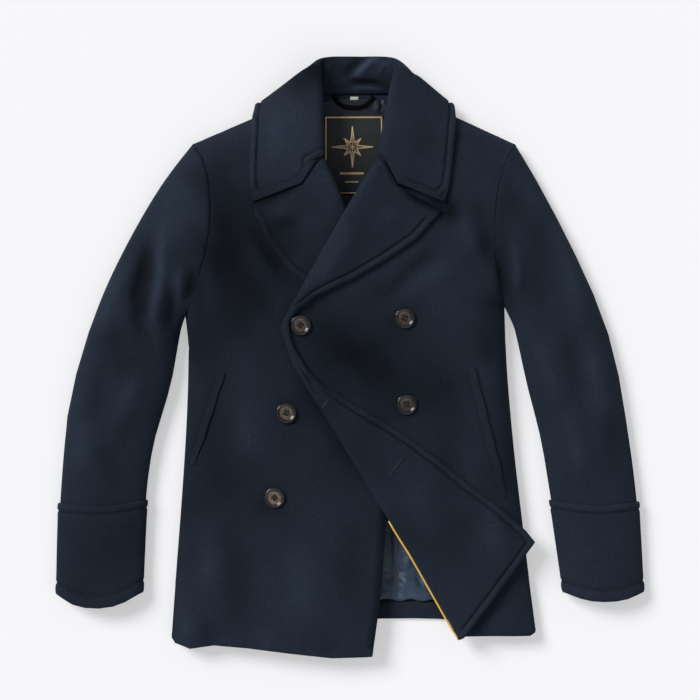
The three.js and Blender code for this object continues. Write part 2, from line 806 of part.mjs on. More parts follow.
function addPiece(name, geometry, { colour, roughness }) {
  const material = new THREE.MeshStandardMaterial({ color: colour, roughness });
  material.name = name;
  const mesh = new THREE.Mesh(geometry, material);
  mesh.name = name;
  content.add(mesh);
}

addPiece('back', wall(backSheet, shellNormals, 0, woolThickness), wool);
addPiece('front_left', wall(leftSheet, shellNormals, 0, woolThickness), wool);
addPiece('front_right', wall(rightSheet, shellNormals, 0, woolThickness), wool);
sides.forEach((name) => {
  const { upper, under } = sleeveSheets[name];
  addPiece(`sleeve_upper_${name}`, wall(upper, shellNormals, 0, woolThickness), wool);
  addPiece(`sleeve_under_${name}`, wall(under, shellNormals, 0, woolThickness), wool);
});

// Facings lie on the folded parts; the right one also lines its front edge
const facingInner = woolThickness + layerGap;
const lastFolded = foldedFractions.length - 1;
const upperBend = lastFolded + bendSteps / 2;
const wholeBend = lastFolded + bendSteps;
const leftFacingCells = leftSheet.cells.filter(({ name, row, column }) => {
  return name === 'folded' && column < (row < lapelRows ? wholeBend : upperBend);
});
addPiece(
  'facing_left',
  wall(leftSheet, shellNormals, facingInner, facingDepth, leftFacingCells),
  wool,
);
const facingColumns = 2;
const rightFacingCells = rightSheet.cells.filter(({ name, row, column }) => {
  return name === 'folded' || (row >= breakRow - 1 && column >= rightAcross.length - 1 - facingColumns);
});
addPiece(
  'facing_right',
  wall(rightSheet, shellNormals, facingInner, facingDepth, rightFacingCells),
  wool,
);

// Cuffs: the sleeve's own end, moved out all round
const cuffGap = 0.5;
sides.forEach((name) => {
  const { upper, under } = sleeveSheets[name];
  const source = new Sheet();
  [upper, under].forEach((sheet) => {
    sheet.cells.filter(({ row }) => row >= sleeveRows).forEach((cell) => {
      const corners = cell.corners.map((corner) => source.indexOf(sheet.points[corner]));
      source.cells.push({ ...cell, corners });
    });
  });
  const cuff = new Sheet();
  const moved = source.points.map((point) => {
    const normal = shellNormals.get(positionKey(point));
    return point.clone().addScaledVector(normal, cuffGap + woolThickness);
  });
  cuff.cells = source.cells.map((cell) => {
    return { ...cell, corners: cell.corners.map((corner) => cuff.indexOf(moved[corner])) };
  });
  addPiece(`cuff_${name}`, wall(cuff, pointNormals([cuff]), 0, woolThickness), wool);
});

// Collar: one surface for the outer face of the upper collar, and the under collar below it
const rowPlaces = ['neck', 'stand', 'roll', 'turn', 'fall', 'edge'];
function collarRow(row, sign) {
  const height = sign > 0 ? leftFrontHeight : rightFrontHeight;
  const points = rowPlaces.map((place) => {
    const [x, y, z] = row[place];
    const [planX, planY] = collarPlan(sign, x, y);
    return [planX, planY, row.over ? z + height(planX, planY) : z];
  });
  const spline = splineThrough(points);
  return collarAcross.map((step) => {
    const point = spline.getPoint(step);
    return point.setZ(Math.max(point.z, leastFloorGap));
  });
}
const collarGrid = [
  ...collarRows.map((row) => collarRow(row, -1)),
  ...collarRows.slice(0, -1).reverse().map((row) => collarRow(row, 1)),
];
const collarSheet = new Sheet();
collarSheet.addGrid(collarGrid);
const collarNormals = pointNormals([collarSheet]);
addPiece('collar_upper', wall(collarSheet, collarNormals, 0, woolThickness), wool);
const collarLayerGap = 1.1;
const underCollarDepth = woolThickness + collarLayerGap;
const underCollarInner = underCollarDepth + underCollarThickness;
addPiece(
  'collar_under',
  wall(collarSheet, collarNormals, underCollarDepth, underCollarInner),
  wool,
);

// Lining: a plain under side, quilted squares on top, and plain satin by the neck
const quiltHalf = quiltSquare / 2;
const liningBottom = -342;
const liningInset = 15;
const shoulderInset = 18;
const liningTop = 364;
const labelBox = { left: -37, right: 46, bottom: 228, top: 340 };
function liningReach(y, name) {
  const line = name === 'right' ? bodyEdge.right : bodyEdge.left;
  const neckPoint = name === 'right' ? neckPointRight : neckPointLeft;
  const tip = line[0];
  if (y > tip.y) {
    const share = (y - tip.y) / (neckPoint.y - tip.y);
    const run = Math.abs(neckPoint.x - tip.x);
    const slope = Math.hypot(run, neckPoint.y - tip.y) / (neckPoint.y - tip.y);
    const reach = THREE.MathUtils.lerp(Math.abs(tip.x), Math.abs(neckPoint.x), share);
    return reach - shoulderInset * slope;
  }
  return Math.abs(lineAt(line, y)) - liningInset;
}
const liningYs = [];
for (let y = liningTop - 22; y > quiltLineY; y -= quiltHalf) {
  liningYs.push(quiltLineY + Math.round((y - quiltLineY) / quiltHalf) * quiltHalf);
}
const liningRowYs = [liningTop, ...liningYs, quiltLineY, quiltLineY - quiltHalf / 2, liningBottom];
const columnReach = 10;
const liningGrid = liningRowYs.map((y) => {
  const right = -liningReach(y, 'right');
  const left = liningReach(y, 'left');
  const row = [];
  for (let column = -columnReach; column <= columnReach; column += 1) {
    const x = quiltLineX + (column - 2) * quiltHalf;
    row.push(new THREE.Vector3(THREE.MathUtils.clamp(x, right, left), y, 0));
  }
  return row;
});
function quiltCentre(x, y) {
  const acrossX = Math.abs(Math.sin(Math.PI * (x - quiltLineX) / quiltSquare));
  const acrossY = Math.abs(Math.sin(Math.PI * (y - quiltLineY) / quiltSquare));
  const quilted = 1 - smooth(y, quiltTop, quiltTop + 20);
  return acrossX * acrossY * quilted;
}
const liningSheet = new Sheet();
liningSheet.addGrid(raise(liningGrid, (x, y) => underHeight(x, y) + liningAboveBack));
function slab(sheet, thickness) {
  const count = sheet.points.length;
  const top = sheet.points.map((point) => {
    return point.clone().add(new THREE.Vector3(0, 0, thickness(point.x, point.y)));
  });
  const triangles = [];
  sheet.cells.forEach(({ corners }) => {
    split(corners, top).forEach(([a, b, c]) => {
      triangles.push([a, b, c]);
      triangles.push([c + count, b + count, a + count]);
    });
  });
  openEdges(sheet.cells).forEach(([from, to]) => {
    triangles.push([to, from, from + count]);
    triangles.push([to, from + count, to + count]);
  });
  return geometryOf([...top, ...sheet.points], triangles);
}
function liningThickness(x, y) {
  return quiltSeamHeight + quiltRise * quiltCentre(x, y);
}
addPiece('lining_back', slab(liningSheet, liningThickness), satin);

// Where a plumb line meets a sheet, with the surface's normal there
function onSheet(sheet, x, y) {
  let best = null;
  sheet.cells.forEach(({ corners }) => {
    split(corners, sheet.points).forEach((triangle) => {
      const [a, b, c] = triangle.map((corner) => sheet.points[corner]);
      const spot = new THREE.Vector3(x, y, 0);
      const flat = new THREE.Triangle(a.clone().setZ(0), b.clone().setZ(0), c.clone().setZ(0));
      if (flat.getArea() > 0.01 && flat.containsPoint(spot)) {
        const share = flat.getBarycoord(spot, new THREE.Vector3());
        const point = new THREE.Vector3()
          .addScaledVector(a, share.x)
          .addScaledVector(b, share.y)
          .addScaledVector(c, share.z);
        const normal = new THREE.Triangle(a, b, c).getNormal(new THREE.Vector3());
        if (normal.z > 0 && (!best || point.z > best.point.z)) {
          best = { point, normal };
        }
      }
    });
  });
  return best;
}

// Pocket welts, moved out from the fronts' own points
const weltLines = {
  right: { from: [-180, -20], to: [-223, -151] },
  left: { from: [167, -14], to: [214, -196] },
};
const weltSteps = 8;
sides.forEach((name) => {
  const { from, to } = weltLines[name];
  const run = plan(to).sub(plan(from)).normalize();
  const acrossRun = new THREE.Vector3(-run.y, run.x, 0).multiplyScalar(weltWidth / 2);
  const sheet = name === 'right' ? rightSheet : leftSheet;
  const grid = fractions(weltSteps).map((step) => [-1, 0, 1].map((sign) => {
    const spot = plan(from).lerp(plan(to), step).addScaledVector(acrossRun, sign);
    const { point, normal } = onSheet(sheet, spot.x, spot.y);
    return point.addScaledVector(normal, restGap + woolThickness);
  }));
  const welt = new Sheet();
  welt.addGrid(grid);
  addPiece(`pocket_welt_${name}`, wall(welt, pointNormals([welt]), 0, woolThickness), wool);
});

// Buttons
const { Manifold, CrossSection } = await Module().then((tools) => {
  tools.setup();
  return tools;
});
function buttonSolid() {
  const sidesRound = 18;
  const profile = [
    [0, 0], [buttonFoot, 0], [buttonRadius, buttonSide.from], [buttonRadius, buttonSide.to],
    [buttonRim, buttonHeight], [buttonDish.radius, buttonDish.edge], [0, buttonDish.middle],
  ];
  let solid = Manifold.revolve(new CrossSection([profile]), sidesRound);
  const holeSides = 5;
  const offset = buttonHoleSpacing / 2;
  [[1, 1], [-1, 1], [-1, -1], [1, -1]].forEach(([x, y]) => {
    const hole = Manifold.cylinder(buttonHeight * 2, buttonHoleRadius, buttonHoleRadius, holeSides)
      .translate([x * offset, y * offset, -1]);
    solid = solid.subtract(hole);
  });
  return solid.getMesh();
}
const buttonMesh = buttonSolid();
function buttonGeometry() {
  const geometry = new THREE.BufferGeometry();
  const positions = [];
  for (let index = 0; index < buttonMesh.vertProperties.length; index += buttonMesh.numProp) {
    positions.push(...buttonMesh.vertProperties.slice(index, index + 3));
  }
  geometry.setAttribute('position', new THREE.Float32BufferAttribute(positions, 3));
  geometry.setIndex(Array.from(buttonMesh.triVerts));
  geometry.computeVertexNormals();
  return geometry;
}
const buttonPlaces = [
  { name: 'button_1', sheet: leftSheet, at: [-70, 44.5] },
  { name: 'button_2', sheet: leftSheet, at: [75, 54] },
  { name: 'button_3', sheet: rightSheet, at: [-90, -78] },
  { name: 'button_4', sheet: leftSheet, at: [77.5, -66] },
  { name: 'button_5', sheet: rightSheet, at: [-106.5, -196] },
  { name: 'button_6', sheet: leftSheet, at: [79, -185] },
];
const buttonGap = 0.3;
const seatSamples = 8;

// A level seat for a disc: the mean slope of the cloth below it, clear of its highest place
function seatOn(sheet, x, y, radius) {
  const ring = (share) => fractions(seatSamples).slice(1).map((step) => {
    const angle = 2 * Math.PI * step;
    const spotX = x + radius * share * Math.cos(angle);
    const spotY = y + radius * share * Math.sin(angle);
    return onSheet(sheet, spotX, spotY).point;
  });
  const outer = ring(1);
  const normal = new THREE.Vector3();
  outer.forEach((point, place) => {
    normal.add(point.clone().cross(outer[(place + 1) % outer.length]));
  });
  normal.normalize();
  const centre = onSheet(sheet, x, y).point;
  const clearance = Math.max(0, ...[...outer, ...ring(0.5)].map((point) => {
    return point.clone().sub(centre).dot(normal);
  }));
  return { place: centre.addScaledVector(normal, clearance + buttonGap), normal };
}
buttonPlaces.forEach(({ name, sheet, at }) => {
  const { place, normal } = seatOn(sheet, at[0], at[1], buttonRadius);
  const geometry = buttonGeometry();
  const turn = new THREE.Quaternion().setFromUnitVectors(new THREE.Vector3(0, 0, 1), normal);
  geometry.applyQuaternion(turn);
  geometry.translate(place.x, place.y, place.z);
  addPiece(name, geometry, horn);
});

// Neck label, hanger loop and size tag lie on the lining
const liningFace = new Sheet();
liningFace.addGrid(raise(liningGrid, (x, y) => {
  return underHeight(x, y) + liningAboveBack + liningThickness(x, y);
}));
const labelThickness = 0.7;
const loopThickness = 1.2;
const loopHalfWidth = 2.4;
const clothRest = 0.4;
function onLining(x, y, rise) {
  const found = onSheet(liningFace, x, y);
  const height = found ? found.point.z : underHeight(x, y) + liningAboveBack + quiltSeamHeight;
  return new THREE.Vector3(x, y, height + rise);
}
function patchPiece(name, grid, thickness, look) {
  const sheet = new Sheet();
  sheet.addGrid(grid);
  addPiece(name, wall(sheet, pointNormals([sheet]), 0, thickness), look);
}
const labelYs = [labelBox.top, 314, 286, 258, labelBox.bottom];
const labelXs = [labelBox.left, -18, 10, 38, labelBox.right];
patchPiece('neck_label', labelYs.map((y) => labelXs.map((x) => {
  return onLining(x, y, clothRest + labelThickness);
})), labelThickness, woven);
patchPiece('size_tag', [366, 361].map((y) => [-1, 11].map((x) => {
  return onLining(x, y, clothRest + labelThickness);
})), labelThickness, woven);
const loopPath = splineThrough([[-24, 366], [-17, 355.5], [0, 350.5], [20, 353], [32, 366]]);
const loopSteps = 8;
patchPiece('hanger_loop', fractions(loopSteps).map((step) => {
  const middle = loopPath.getPointAt(step);
  const run = loopPath.getTangentAt(step);
  return [1, -1].map((sign) => {
    const x = middle.x + run.y * loopHalfWidth * sign;
    const y = middle.y - run.x * loopHalfWidth * sign;
    return onLining(x, y, clothRest + loopThickness);
  });
}), loopThickness, satin);

// Golden piping where the flap's fold meets the end of its facing
const pipingFirstRow = lapelRows + 6;
const pipingAngle = -0.27;
const pipingSides = 7;
const pipingRings = leftLine.slice(pipingFirstRow).map(({ centre, outward, radius }) => {
  const base = leftFrontHeight(centre.x, centre.y) + radius;
  const reach = radius + facingInner + pipingRadius;
  const middle = centre.clone().addScaledVector(outward, reach * Math.cos(pipingAngle));
  middle.z = base + reach * Math.sin(pipingAngle);
  return fractions(pipingSides).slice(1).map((step) => {
    const angle = 2 * Math.PI * step;
    return middle.clone()
      .addScaledVector(outward, pipingRadius * Math.cos(angle))
      .add(new THREE.Vector3(0, 0, pipingRadius * Math.sin(angle)));
  });
});
function tube(rings) {
  const count = rings[0].length;
  const points = [...rings.flat(), ringMiddle(rings[0]), ringMiddle(rings.at(-1))];
  const triangles = [];
  for (let ring = 0; ring + 1 < rings.length; ring += 1) {
    for (let place = 0; place < count; place += 1) {
      const next = (place + 1) % count;
      const [a, b] = [ring * count + place, ring * count + next];
      const [c, d] = [b + count, a + count];
      triangles.push([c, b, a], [d, c, a]);
    }
  }
  const last = (rings.length - 1) * count;
  const firstMiddle = rings.length * count;
  for (let place = 0; place < count; place += 1) {
    const next = (place + 1) % count;
    triangles.push([firstMiddle, place, next], [firstMiddle + 1, last + next, last + place]);
  }
  return geometryOf(points, triangles);
}
function ringMiddle(ring) {
  const middle = new THREE.Vector3();
  ring.forEach((point) => middle.addScaledVector(point, 1 / ring.length));
  return middle;
}
addPiece('piping', tube(pipingRings), gold);

// The coat stands in its own frame: middle of its box, on the floor
coat.add(content);
const box = new THREE.Box3().setFromObject(content);
content.position.set(-(box.min.x + box.max.x) / 2, -(box.min.y + box.max.y) / 2, -box.min.z);

export default coat;
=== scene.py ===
import math
import random

import bmesh
import bpy
import numpy as np
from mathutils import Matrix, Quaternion, Vector
from mathutils.bvhtree import BVHTree
from mathutils.kdtree import KDTree


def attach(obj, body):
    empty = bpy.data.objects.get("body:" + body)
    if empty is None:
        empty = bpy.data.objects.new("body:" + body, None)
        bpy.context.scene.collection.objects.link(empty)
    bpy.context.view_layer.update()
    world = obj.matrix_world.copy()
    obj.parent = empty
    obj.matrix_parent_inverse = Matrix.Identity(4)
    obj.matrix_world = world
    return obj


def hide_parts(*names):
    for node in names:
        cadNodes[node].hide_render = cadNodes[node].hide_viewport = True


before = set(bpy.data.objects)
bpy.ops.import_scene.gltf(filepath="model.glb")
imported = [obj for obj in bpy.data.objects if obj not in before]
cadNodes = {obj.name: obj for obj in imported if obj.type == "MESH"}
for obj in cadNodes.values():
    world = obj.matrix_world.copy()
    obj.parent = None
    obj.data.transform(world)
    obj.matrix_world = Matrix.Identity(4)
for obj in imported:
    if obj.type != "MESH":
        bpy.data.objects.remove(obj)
bpy.context.view_layer.update()
bpy.ops.object.select_all(action="DESELECT")
dice = random.Random(7)
print("coat: frame loaded,", len(cadNodes), "solids")


def toLinear(hexColour):
    parts = [int(hexColour[i:i + 2], 16) / 255 for i in (1, 3, 5)]
    return [*[c / 12.92 if c <= 0.04045 else ((c + 0.055) / 1.055) ** 2.4 for c in parts], 1.0]


def addNode(tree, kind, place, settings=None, inputs=None):
    node = tree.nodes.new(kind)
    node.location = place
    for name, value in (settings or {}).items():
        setattr(node, name, value)
    for socket, value in (inputs or {}).items():
        if isinstance(value, bpy.types.NodeSocket):
            tree.links.new(value, node.inputs[socket])
        else:
            node.inputs[socket].default_value = value
    return node


def smoothRange(low, high, value):
    t = np.clip((value - low) / (high - low), 0, 1)
    return t * t * (3 - 2 * t)


def onlyActive(piece):
    bpy.ops.object.select_all(action="DESELECT")
    bpy.context.view_layer.objects.active = piece
    piece.select_set(True)


def meshPoints(piece):
    places = np.empty(len(piece.data.vertices) * 3)
    piece.data.vertices.foreach_get("co", places)
    return places.reshape(-1, 3)


def setMeshPoints(piece, places):
    piece.data.vertices.foreach_set("co", places.ravel())
    piece.data.update()


def layerValues(piece, name):
    values = np.zeros(len(piece.data.vertices))
    if name in piece.data.attributes:
        piece.data.attributes[name].data.foreach_get("value", values)
    return values


def storeLayer(piece, name, values):
    layer = piece.data.attributes.get(name) or piece.data.attributes.new(name, "FLOAT", "POINT")
    layer.data.foreach_set("value", values.astype(np.float32))


def cloud(places):
    tree = KDTree(max(1, len(places)))
    for index, place in enumerate(places):
        tree.insert(place, index)
    tree.balance()
    return tree


# Soft folds of the laid cloth. Each one: places along it in mm, half width in mm,
# height in mm, where a trough is below 0.
topFolds = [
    # right sleeve
    ([(-266, 190), (-283, 140), (-296, 84), (-289, 38), (-264, 2)], 11, -9.0),
    ([(-262, 206), (-264, 108), (-275, 52), (-262, 2)], 10, 6.0),
    ([(-244, 112), (-249, 70), (-252, 28)], 8, -5.0),
    ([(-234, 138), (-238, 104), (-241, 62)], 7, 3.6),
    ([(-214, 132), (-221, 98), (-230, 66)], 6, -4.5),
    ([(-330, 60), (-318, 0), (-300, -50)], 20, -3.0),
    ([(-316, 140), (-335, 80), (-346, 20)], 15, 3.4),
    ([(-288, -8), (-306, -50), (-322, -110)], 15, 3.6),
    ([(-338, 18), (-350, -42), (-358, -112)], 13, -3.0),
    ([(-300, -60), (-312, -105), (-318, -150)], 14, -1.4),
    ([(-356, -70), (-372, -120), (-376, -175)], 14, 2.6),
    ([(-350, -120), (-330, -160), (-318, -192)], 14, -3.0),
    # left sleeve
    ([(232, 70), (235, 122), (227, 176)], 8, 4.0),
    ([(216, 66), (213, 108), (206, 160)], 7, -4.5),
    ([(264, 230), (269, 166), (265, 80), (276, 10)], 20, -3.4),
    ([(286, 216), (303, 150), (318, 90), (326, 30)], 16, 3.6),
    ([(296, 60), (312, 0), (326, -72)], 15, -3.6),
    ([(330, 44), (346, -30), (360, -112)], 15, 3.2),
    ([(300, -60), (318, -122), (330, -184)], 13, 3.0),
    ([(360, -60), (372, -120), (378, -180)], 13, -2.6),
    ([(256, 30), (276, -20), (300, -80)], 11, 3.0),
    # fronts
    ([(56, 60), (98, 102), (168, 138)], 15, 3.2),
    ([(146, 214), (162, 180), (182, 136)], 16, 4.4),
    ([(178, 226), (190, 170), (196, 112)], 12, -4.2),
    ([(176, 60), (190, 20), (206, -30)], 15, -3.4),
    ([(-181, 236), (-174, 176), (-170, 100)], 16, -4.2),
    ([(-204, 150), (-196, 90), (-182, 22)], 15, 3.6),
    ([(-140, 200), (-126, 150), (-120, 100)], 16, 2.0),
    ([(-60, -40), (-80, -100), (-84, -160)], 24, -2.6),
    ([(-150, -20), (-140, -92), (-150, -172)], 20, 3.4),
    ([(-206, -196), (-192, -280), (-197, -372)], 18, 4.0),
    ([(-160, -236), (-150, -322), (-160, -402)], 18, -3.6),
    ([(-70, -250), (-62, -330), (-70, -408)], 22, 3.2),
    ([(10, -200), (4, -290), (8, -380)], 16, -2.8),
    ([(40, 10), (14, -60), (-6, -132)], 22, 2.4),
    ([(150, -60), (138, -132), (150, -212)], 18, -3.4),
    ([(216, -150), (206, -232), (216, -312)], 18, 3.4),
    ([(60, -150), (98, -200), (128, -268)], 22, 3.2),
    ([(150, -200), (160, -250), (150, -310)], 20, -1.8),
    # hem, slightly waved
    ([(-232, -352), (-226, -380), (-224, -412)], 12, 2.6),
    ([(-205, -360), (-196, -385), (-192, -412)], 10, -2.4),
    ([(-120, -370), (-116, -395), (-112, -422)], 14, 1.8),
    ([(-30, -380), (-28, -402), (-26, -428)], 12, -1.6),
    # inside of the stand
    ([(40, 422), (20, 404), (4, 388)], 5, 6.0),
    ([(26, 424), (6, 406), (-10, 390)], 6, -5.2),
    ([(-6, 377), (26, 376), (56, 372)], 3.5, 4.0),
    ([(0, 387), (26, 386), (50, 384)], 3, -3.8),
    ([(52, 416), (44, 402), (38, 390)], 4, 2.4),
    ([(-38, 378), (-32, 398), (-24, 418)], 6, 2.0),
    # collar and lapels
    ([(-112, 340), (-104, 300), (-108, 262)], 18, 2.4),
    ([(104, 352), (112, 305), (104, 262)], 18, -2.2),
    ([(-112, 196), (-84, 200), (-58, 206)], 9, 3.2),
    ([(-120, 178), (-92, 182), (-62, 186)], 9, -2.6),
    ([(20, 186), (50, 190), (78, 204)], 16, 2.2),
]

# The cloth dips where a button's thread pulls it: place and radius in mm, depth in mm.
buttonDips = [
    ((-68.6, 44.2), 14, -1.2), ((76.4, 53.7), 16, -2.0), ((-88.7, -78.2), 16, -2.0),
    ((78.9, -66.4), 16, -2.0), ((-105.4, -196.4), 16, -2.0), ((80.6, -185.4), 14, -0.8),
]

# Hidden side: the cloth of the back lifts a little off the surface it lies on.
underFolds = [
    ([(-180, 222), (-152, 122), (-170, 20)], 15, 2.6),
    ([(122, 244), (150, 150), (140, 60)], 14, 2.4),
    ([(-60, 200), (-34, 90), (-52, 0)], 16, 2.0),
    ([(40, 180), (64, 80), (56, -20)], 15, 2.2),
    ([(-70, -60), (-44, -160), (-60, -260)], 16, 2.4),
    ([(60, -90), (84, -200), (62, -320)], 15, 2.4),
    ([(-192, -120), (-172, -232), (-186, -344)], 14, 2.4),
    ([(192, -60), (206, -182), (196, -322)], 14, 2.2),
    ([(-286, 120), (-310, 30), (-332, -66)], 10, 2.4),
    ([(-262, 30), (-286, -50), (-296, -130)], 9, 2.0),
    ([(290, 124), (312, 20), (336, -84)], 10, 2.2),
    ([(350, 10), (368, -70), (380, -150)], 9, 2.0),
]


def foldHeight(folds, x, y):
    total = np.zeros_like(x)
    for line, width, height in folds:
        path = np.array(line, float)
        spans = np.linalg.norm(np.diff(path, axis=0), axis=1)
        reach = np.concatenate(([0], np.cumsum(spans)))
        best = np.full_like(x, 1e9)
        where = np.zeros_like(x)
        for start, end, span, before in zip(path[:-1], path[1:], spans, reach):
            run = end - start
            t = np.clip(((x - start[0]) * run[0] + (y - start[1]) * run[1]) / span ** 2, 0, 1)
            gap = np.hypot(x - start[0] - t * run[0], y - start[1] - t * run[1])
            closer = gap < best
            best = np.where(closer, gap, best)
            where = np.where(closer, before + t * span, where)
        along = where / reach[-1]
        fade = smoothRange(0, 0.4, along) * smoothRange(0, 0.4, 1 - along)
        uneven = 1 + 0.22 * np.sin(where / 15 + path[0][0]) * np.sin(where / 37 + path[0][1])
        total += height * uneven * fade * np.exp(-(best / width) ** 2)
    return total


def settle(places):
    # one soft movement up or down for every piece, so that the layers stay in order
    x, y, z = (places[:, i] * 1000 for i in range(3))
    soft = 0.6 * np.sin(x / 31 + 1.3 * np.sin(y / 57)) * np.sin(y / 43 + 1.1 * np.sin(x / 71))
    soft += 0.25 * np.sin(x / 13 + 1.7 * np.sin(y / 23)) * np.sin(y / 17 + 1.4 * np.sin(x / 29))
    top = foldHeight(topFolds, x, y) + soft
    for (cx, cy), radius, depth in buttonDips:
        top += depth * np.exp(-((x - cx) ** 2 + (y - cy) ** 2) / radius ** 2)
    under = foldHeight(underFolds, x, y) * (1 - smoothRange(0, 14, z))
    moved = places.copy()
    moved[:, 2] += (top * smoothRange(6, 22, z) + under) / 1000
    moved[:, 2] = np.maximum(moved[:, 2], 0)
    return moved


# Cloth pieces: smooth copies of the solids, with rolled edges and sunk seams, in mm.
edgeBand = {"width": 9.3, "rise": 1.9, "groove": 1.7, "grooveWidth": 1.5}
hemBand = {"width": 11.5, "rise": 0.6, "groove": 0.8, "grooveWidth": 1.6}
cuffBand = {"width": 10.5, "rise": 1.3, "groove": 1.2, "grooveWidth": 1.6, "hemWidth": 16}

# Where a free edge is plain, without a band: a line in mm, its reach, the share of the band left.
plainEdges = [
    ([(-75, 60), (-22, -88), (53, -227), (143, -382)], 13, 0.0),  # left facing's inner edge
    ([(60, 232), (92, 222), (118, 208), (128, 196)], 19, 0.0),  # left lapel's top edge and tip
    ([(-140, 216), (-100, 226), (-60, 240), (-36, 270)], 15, 0.0),  # right lapel's top edge
    ([(-139, 208), (-114, 158), (-66, 100)], 17, 0.7),  # right lapel's outer edge
    ([(36, 286), (54, 274), (64, 262), (62, 246)], 18, 0.0),  # left end of the collar's neck seam
    ([(-40, 282), (-52, 262), (-64, 250)], 12, 0.4),  # right end of it
    ([(-60, 368), (0, 366), (62, 368)], 15, 0.0),  # neck seam under the stand
]


def bandShare(x, y):
    share = np.ones_like(x)
    for line, reach, left in plainEdges:
        near = np.full_like(x, 1e9)
        for (x0, y0), (x1, y1) in zip(line[:-1], line[1:]):
            span = (x1 - x0) ** 2 + (y1 - y0) ** 2
            t = np.clip(((x - x0) * (x1 - x0) + (y - y0) * (y1 - y0)) / span, 0, 1)
            near = np.minimum(near, np.hypot(x - x0 - t * (x1 - x0), y - y0 - t * (y1 - y0)))
        share *= left + (1 - left) * smoothRange(reach * 0.7, reach * 1.15, near)
    return share


# Pockets, in mm: the middle line of each welt, the round tack above it, its mouth's side.
welts = {
    "right": {"from": (-178.8, -20.3), "to": (-221.8, -151.3), "tack": (-175, 2), "piece": "front_right",
              "mouth": -1},
    "left": {"from": (168.2, -14.3), "to": (215.2, -196.3), "tack": (163.5, -1.5), "piece": "front_left",
             "mouth": 1},
}
pocketLine = {"half": 7.4, "mouthDepth": 2.8, "backDepth": 1.6, "width": 1.7, "tackRadius": 8, "tackRise": 1.0}


def pocketShape(nodeName, x, y):
    # depth in mm of the lines pressed in along a welt, and how near they are
    shift, near = np.zeros_like(x), np.full_like(x, 200.0)
    for welt in welts.values():
        if welt["piece"] == nodeName:
            (x0, y0), (x1, y1) = welt["from"], welt["to"]
            reach = math.hypot(x1 - x0, y1 - y0)
            dx, dy = (x1 - x0) / reach, (y1 - y0) / reach
            along = (x - x0) * dx + (y - y0) * dy
            across = ((x - x0) * -dy + (y - y0) * dx) * (1 if -dy * welt["mouth"] > 0 else -1)
            ends = smoothRange(-7, 0, along) * smoothRange(-4, 12, reach - along)
            for side, depth in ((1, pocketLine["mouthDepth"]), (-1, pocketLine["backDepth"])):
                wave = across - side * pocketLine["half"] - 0.5 * np.sin(along / 7 + side)
                shift -= depth * ends * np.exp(-(wave / pocketLine["width"]) ** 2)
                far = np.hypot(across - side * pocketLine["half"], np.maximum(0, np.maximum(-along, along - reach)))
                near = np.minimum(near, far)
            tack = np.hypot(x - welt["tack"][0], y - welt["tack"][1])
            ring = tack - pocketLine["tackRadius"]
            shift += pocketLine["tackRise"] * (np.exp(-(ring / 1.8) ** 2) + 0.5 * np.exp(-(tack / 2.5) ** 2))
            near = np.minimum(near, np.abs(ring))
    return shift, near


seamDip = {"depth": 1.4, "width": 2.4, "puff": 0.5, "puffAt": 7.5}
sharpAngle = math.radians(58)

# A piece is pressed in along the edge of the one that lies on it: that one, width and depth in mm.
presses = {
    "front_right": ("facing_left", 2.6, 1.8),
    "facing_left": ("collar_upper", 4.6, 2.8),
    "facing_right": ("collar_upper", 3.4, 1.8),
}
# Near a rim or a pressed line, faces above a size are divided: reach in mm, size in mm2.
rimSteps = ((14, 4.0), (12, 2.4), (4, 0.8))


def copySolid(nodeName, pieceName):
    piece = bpy.data.objects.new(pieceName, cadNodes[nodeName].data.copy())
    bpy.context.collection.objects.link(piece)
    onlyActive(piece)
    piece.data.materials.clear()
    bpy.ops.object.mode_set(mode="EDIT")
    bpy.ops.mesh.select_all(action="SELECT")
    bpy.ops.mesh.remove_doubles(threshold=0.00001)
    bpy.ops.mesh.tris_convert_to_quads(face_threshold=1.2, shape_threshold=1.8)
    bpy.ops.object.mode_set(mode="OBJECT")
    return piece


def rimSamples(piece):
    # places along the sharp edges of a merged solid
    mesh = bmesh.new()
    mesh.from_mesh(piece.data)
    found = []
    for edge in mesh.edges:
        if len(edge.link_faces) == 2 and edge.calc_face_angle() > sharpAngle:
            start, end = edge.verts[0].co, edge.verts[1].co
            count = max(2, int((end - start).length / 0.003))
            found += [start.lerp(end, i / count) for i in range(count + 1)]
    mesh.free()
    return found


def markRims(piece, lowest, joins, acrossOnly):
    # the visible wall is followed from its highest or lowest face as far as its rim
    mesh = bmesh.new()
    mesh.from_mesh(piece.data)
    facing = [f for f in mesh.faces if (f.normal.z < -0.5 if lowest else f.normal.z > 0.5)]
    heights = [f.calc_center_median().z for f in facing]
    seed = facing[heights.index(min(heights) if lowest else max(heights))]
    outer, queue = {seed}, [seed]
    while queue:
        for edge in queue.pop().edges:
            if len(edge.link_faces) == 2 and edge.calc_face_angle() < sharpAngle:
                for near in edge.link_faces:
                    if near not in outer:
                        outer.add(near)
                        queue.append(near)
    side = mesh.verts.layers.float.new("outerSide")
    free = mesh.verts.layers.float.new("freeRim")
    sewn = mesh.verts.layers.float.new("sewnRim")
    for face in outer:
        for corner in face.verts:
            corner[side] = 1
    for edge in mesh.edges:
        if len(edge.link_faces) == 2 and len(outer.intersection(edge.link_faces)) == 1:
            run = edge.verts[1].co - edge.verts[0].co
            middle = edge.verts[0].co.lerp(edge.verts[1].co, 0.5)
            if acrossOnly and abs(run.y) > abs(run.x):
                continue
            layer = sewn if joins and joins.find(middle)[2] < 0.0016 else free
            for corner in edge.verts:
                corner[layer] = 1
    mesh.to_mesh(piece.data)
    mesh.free()


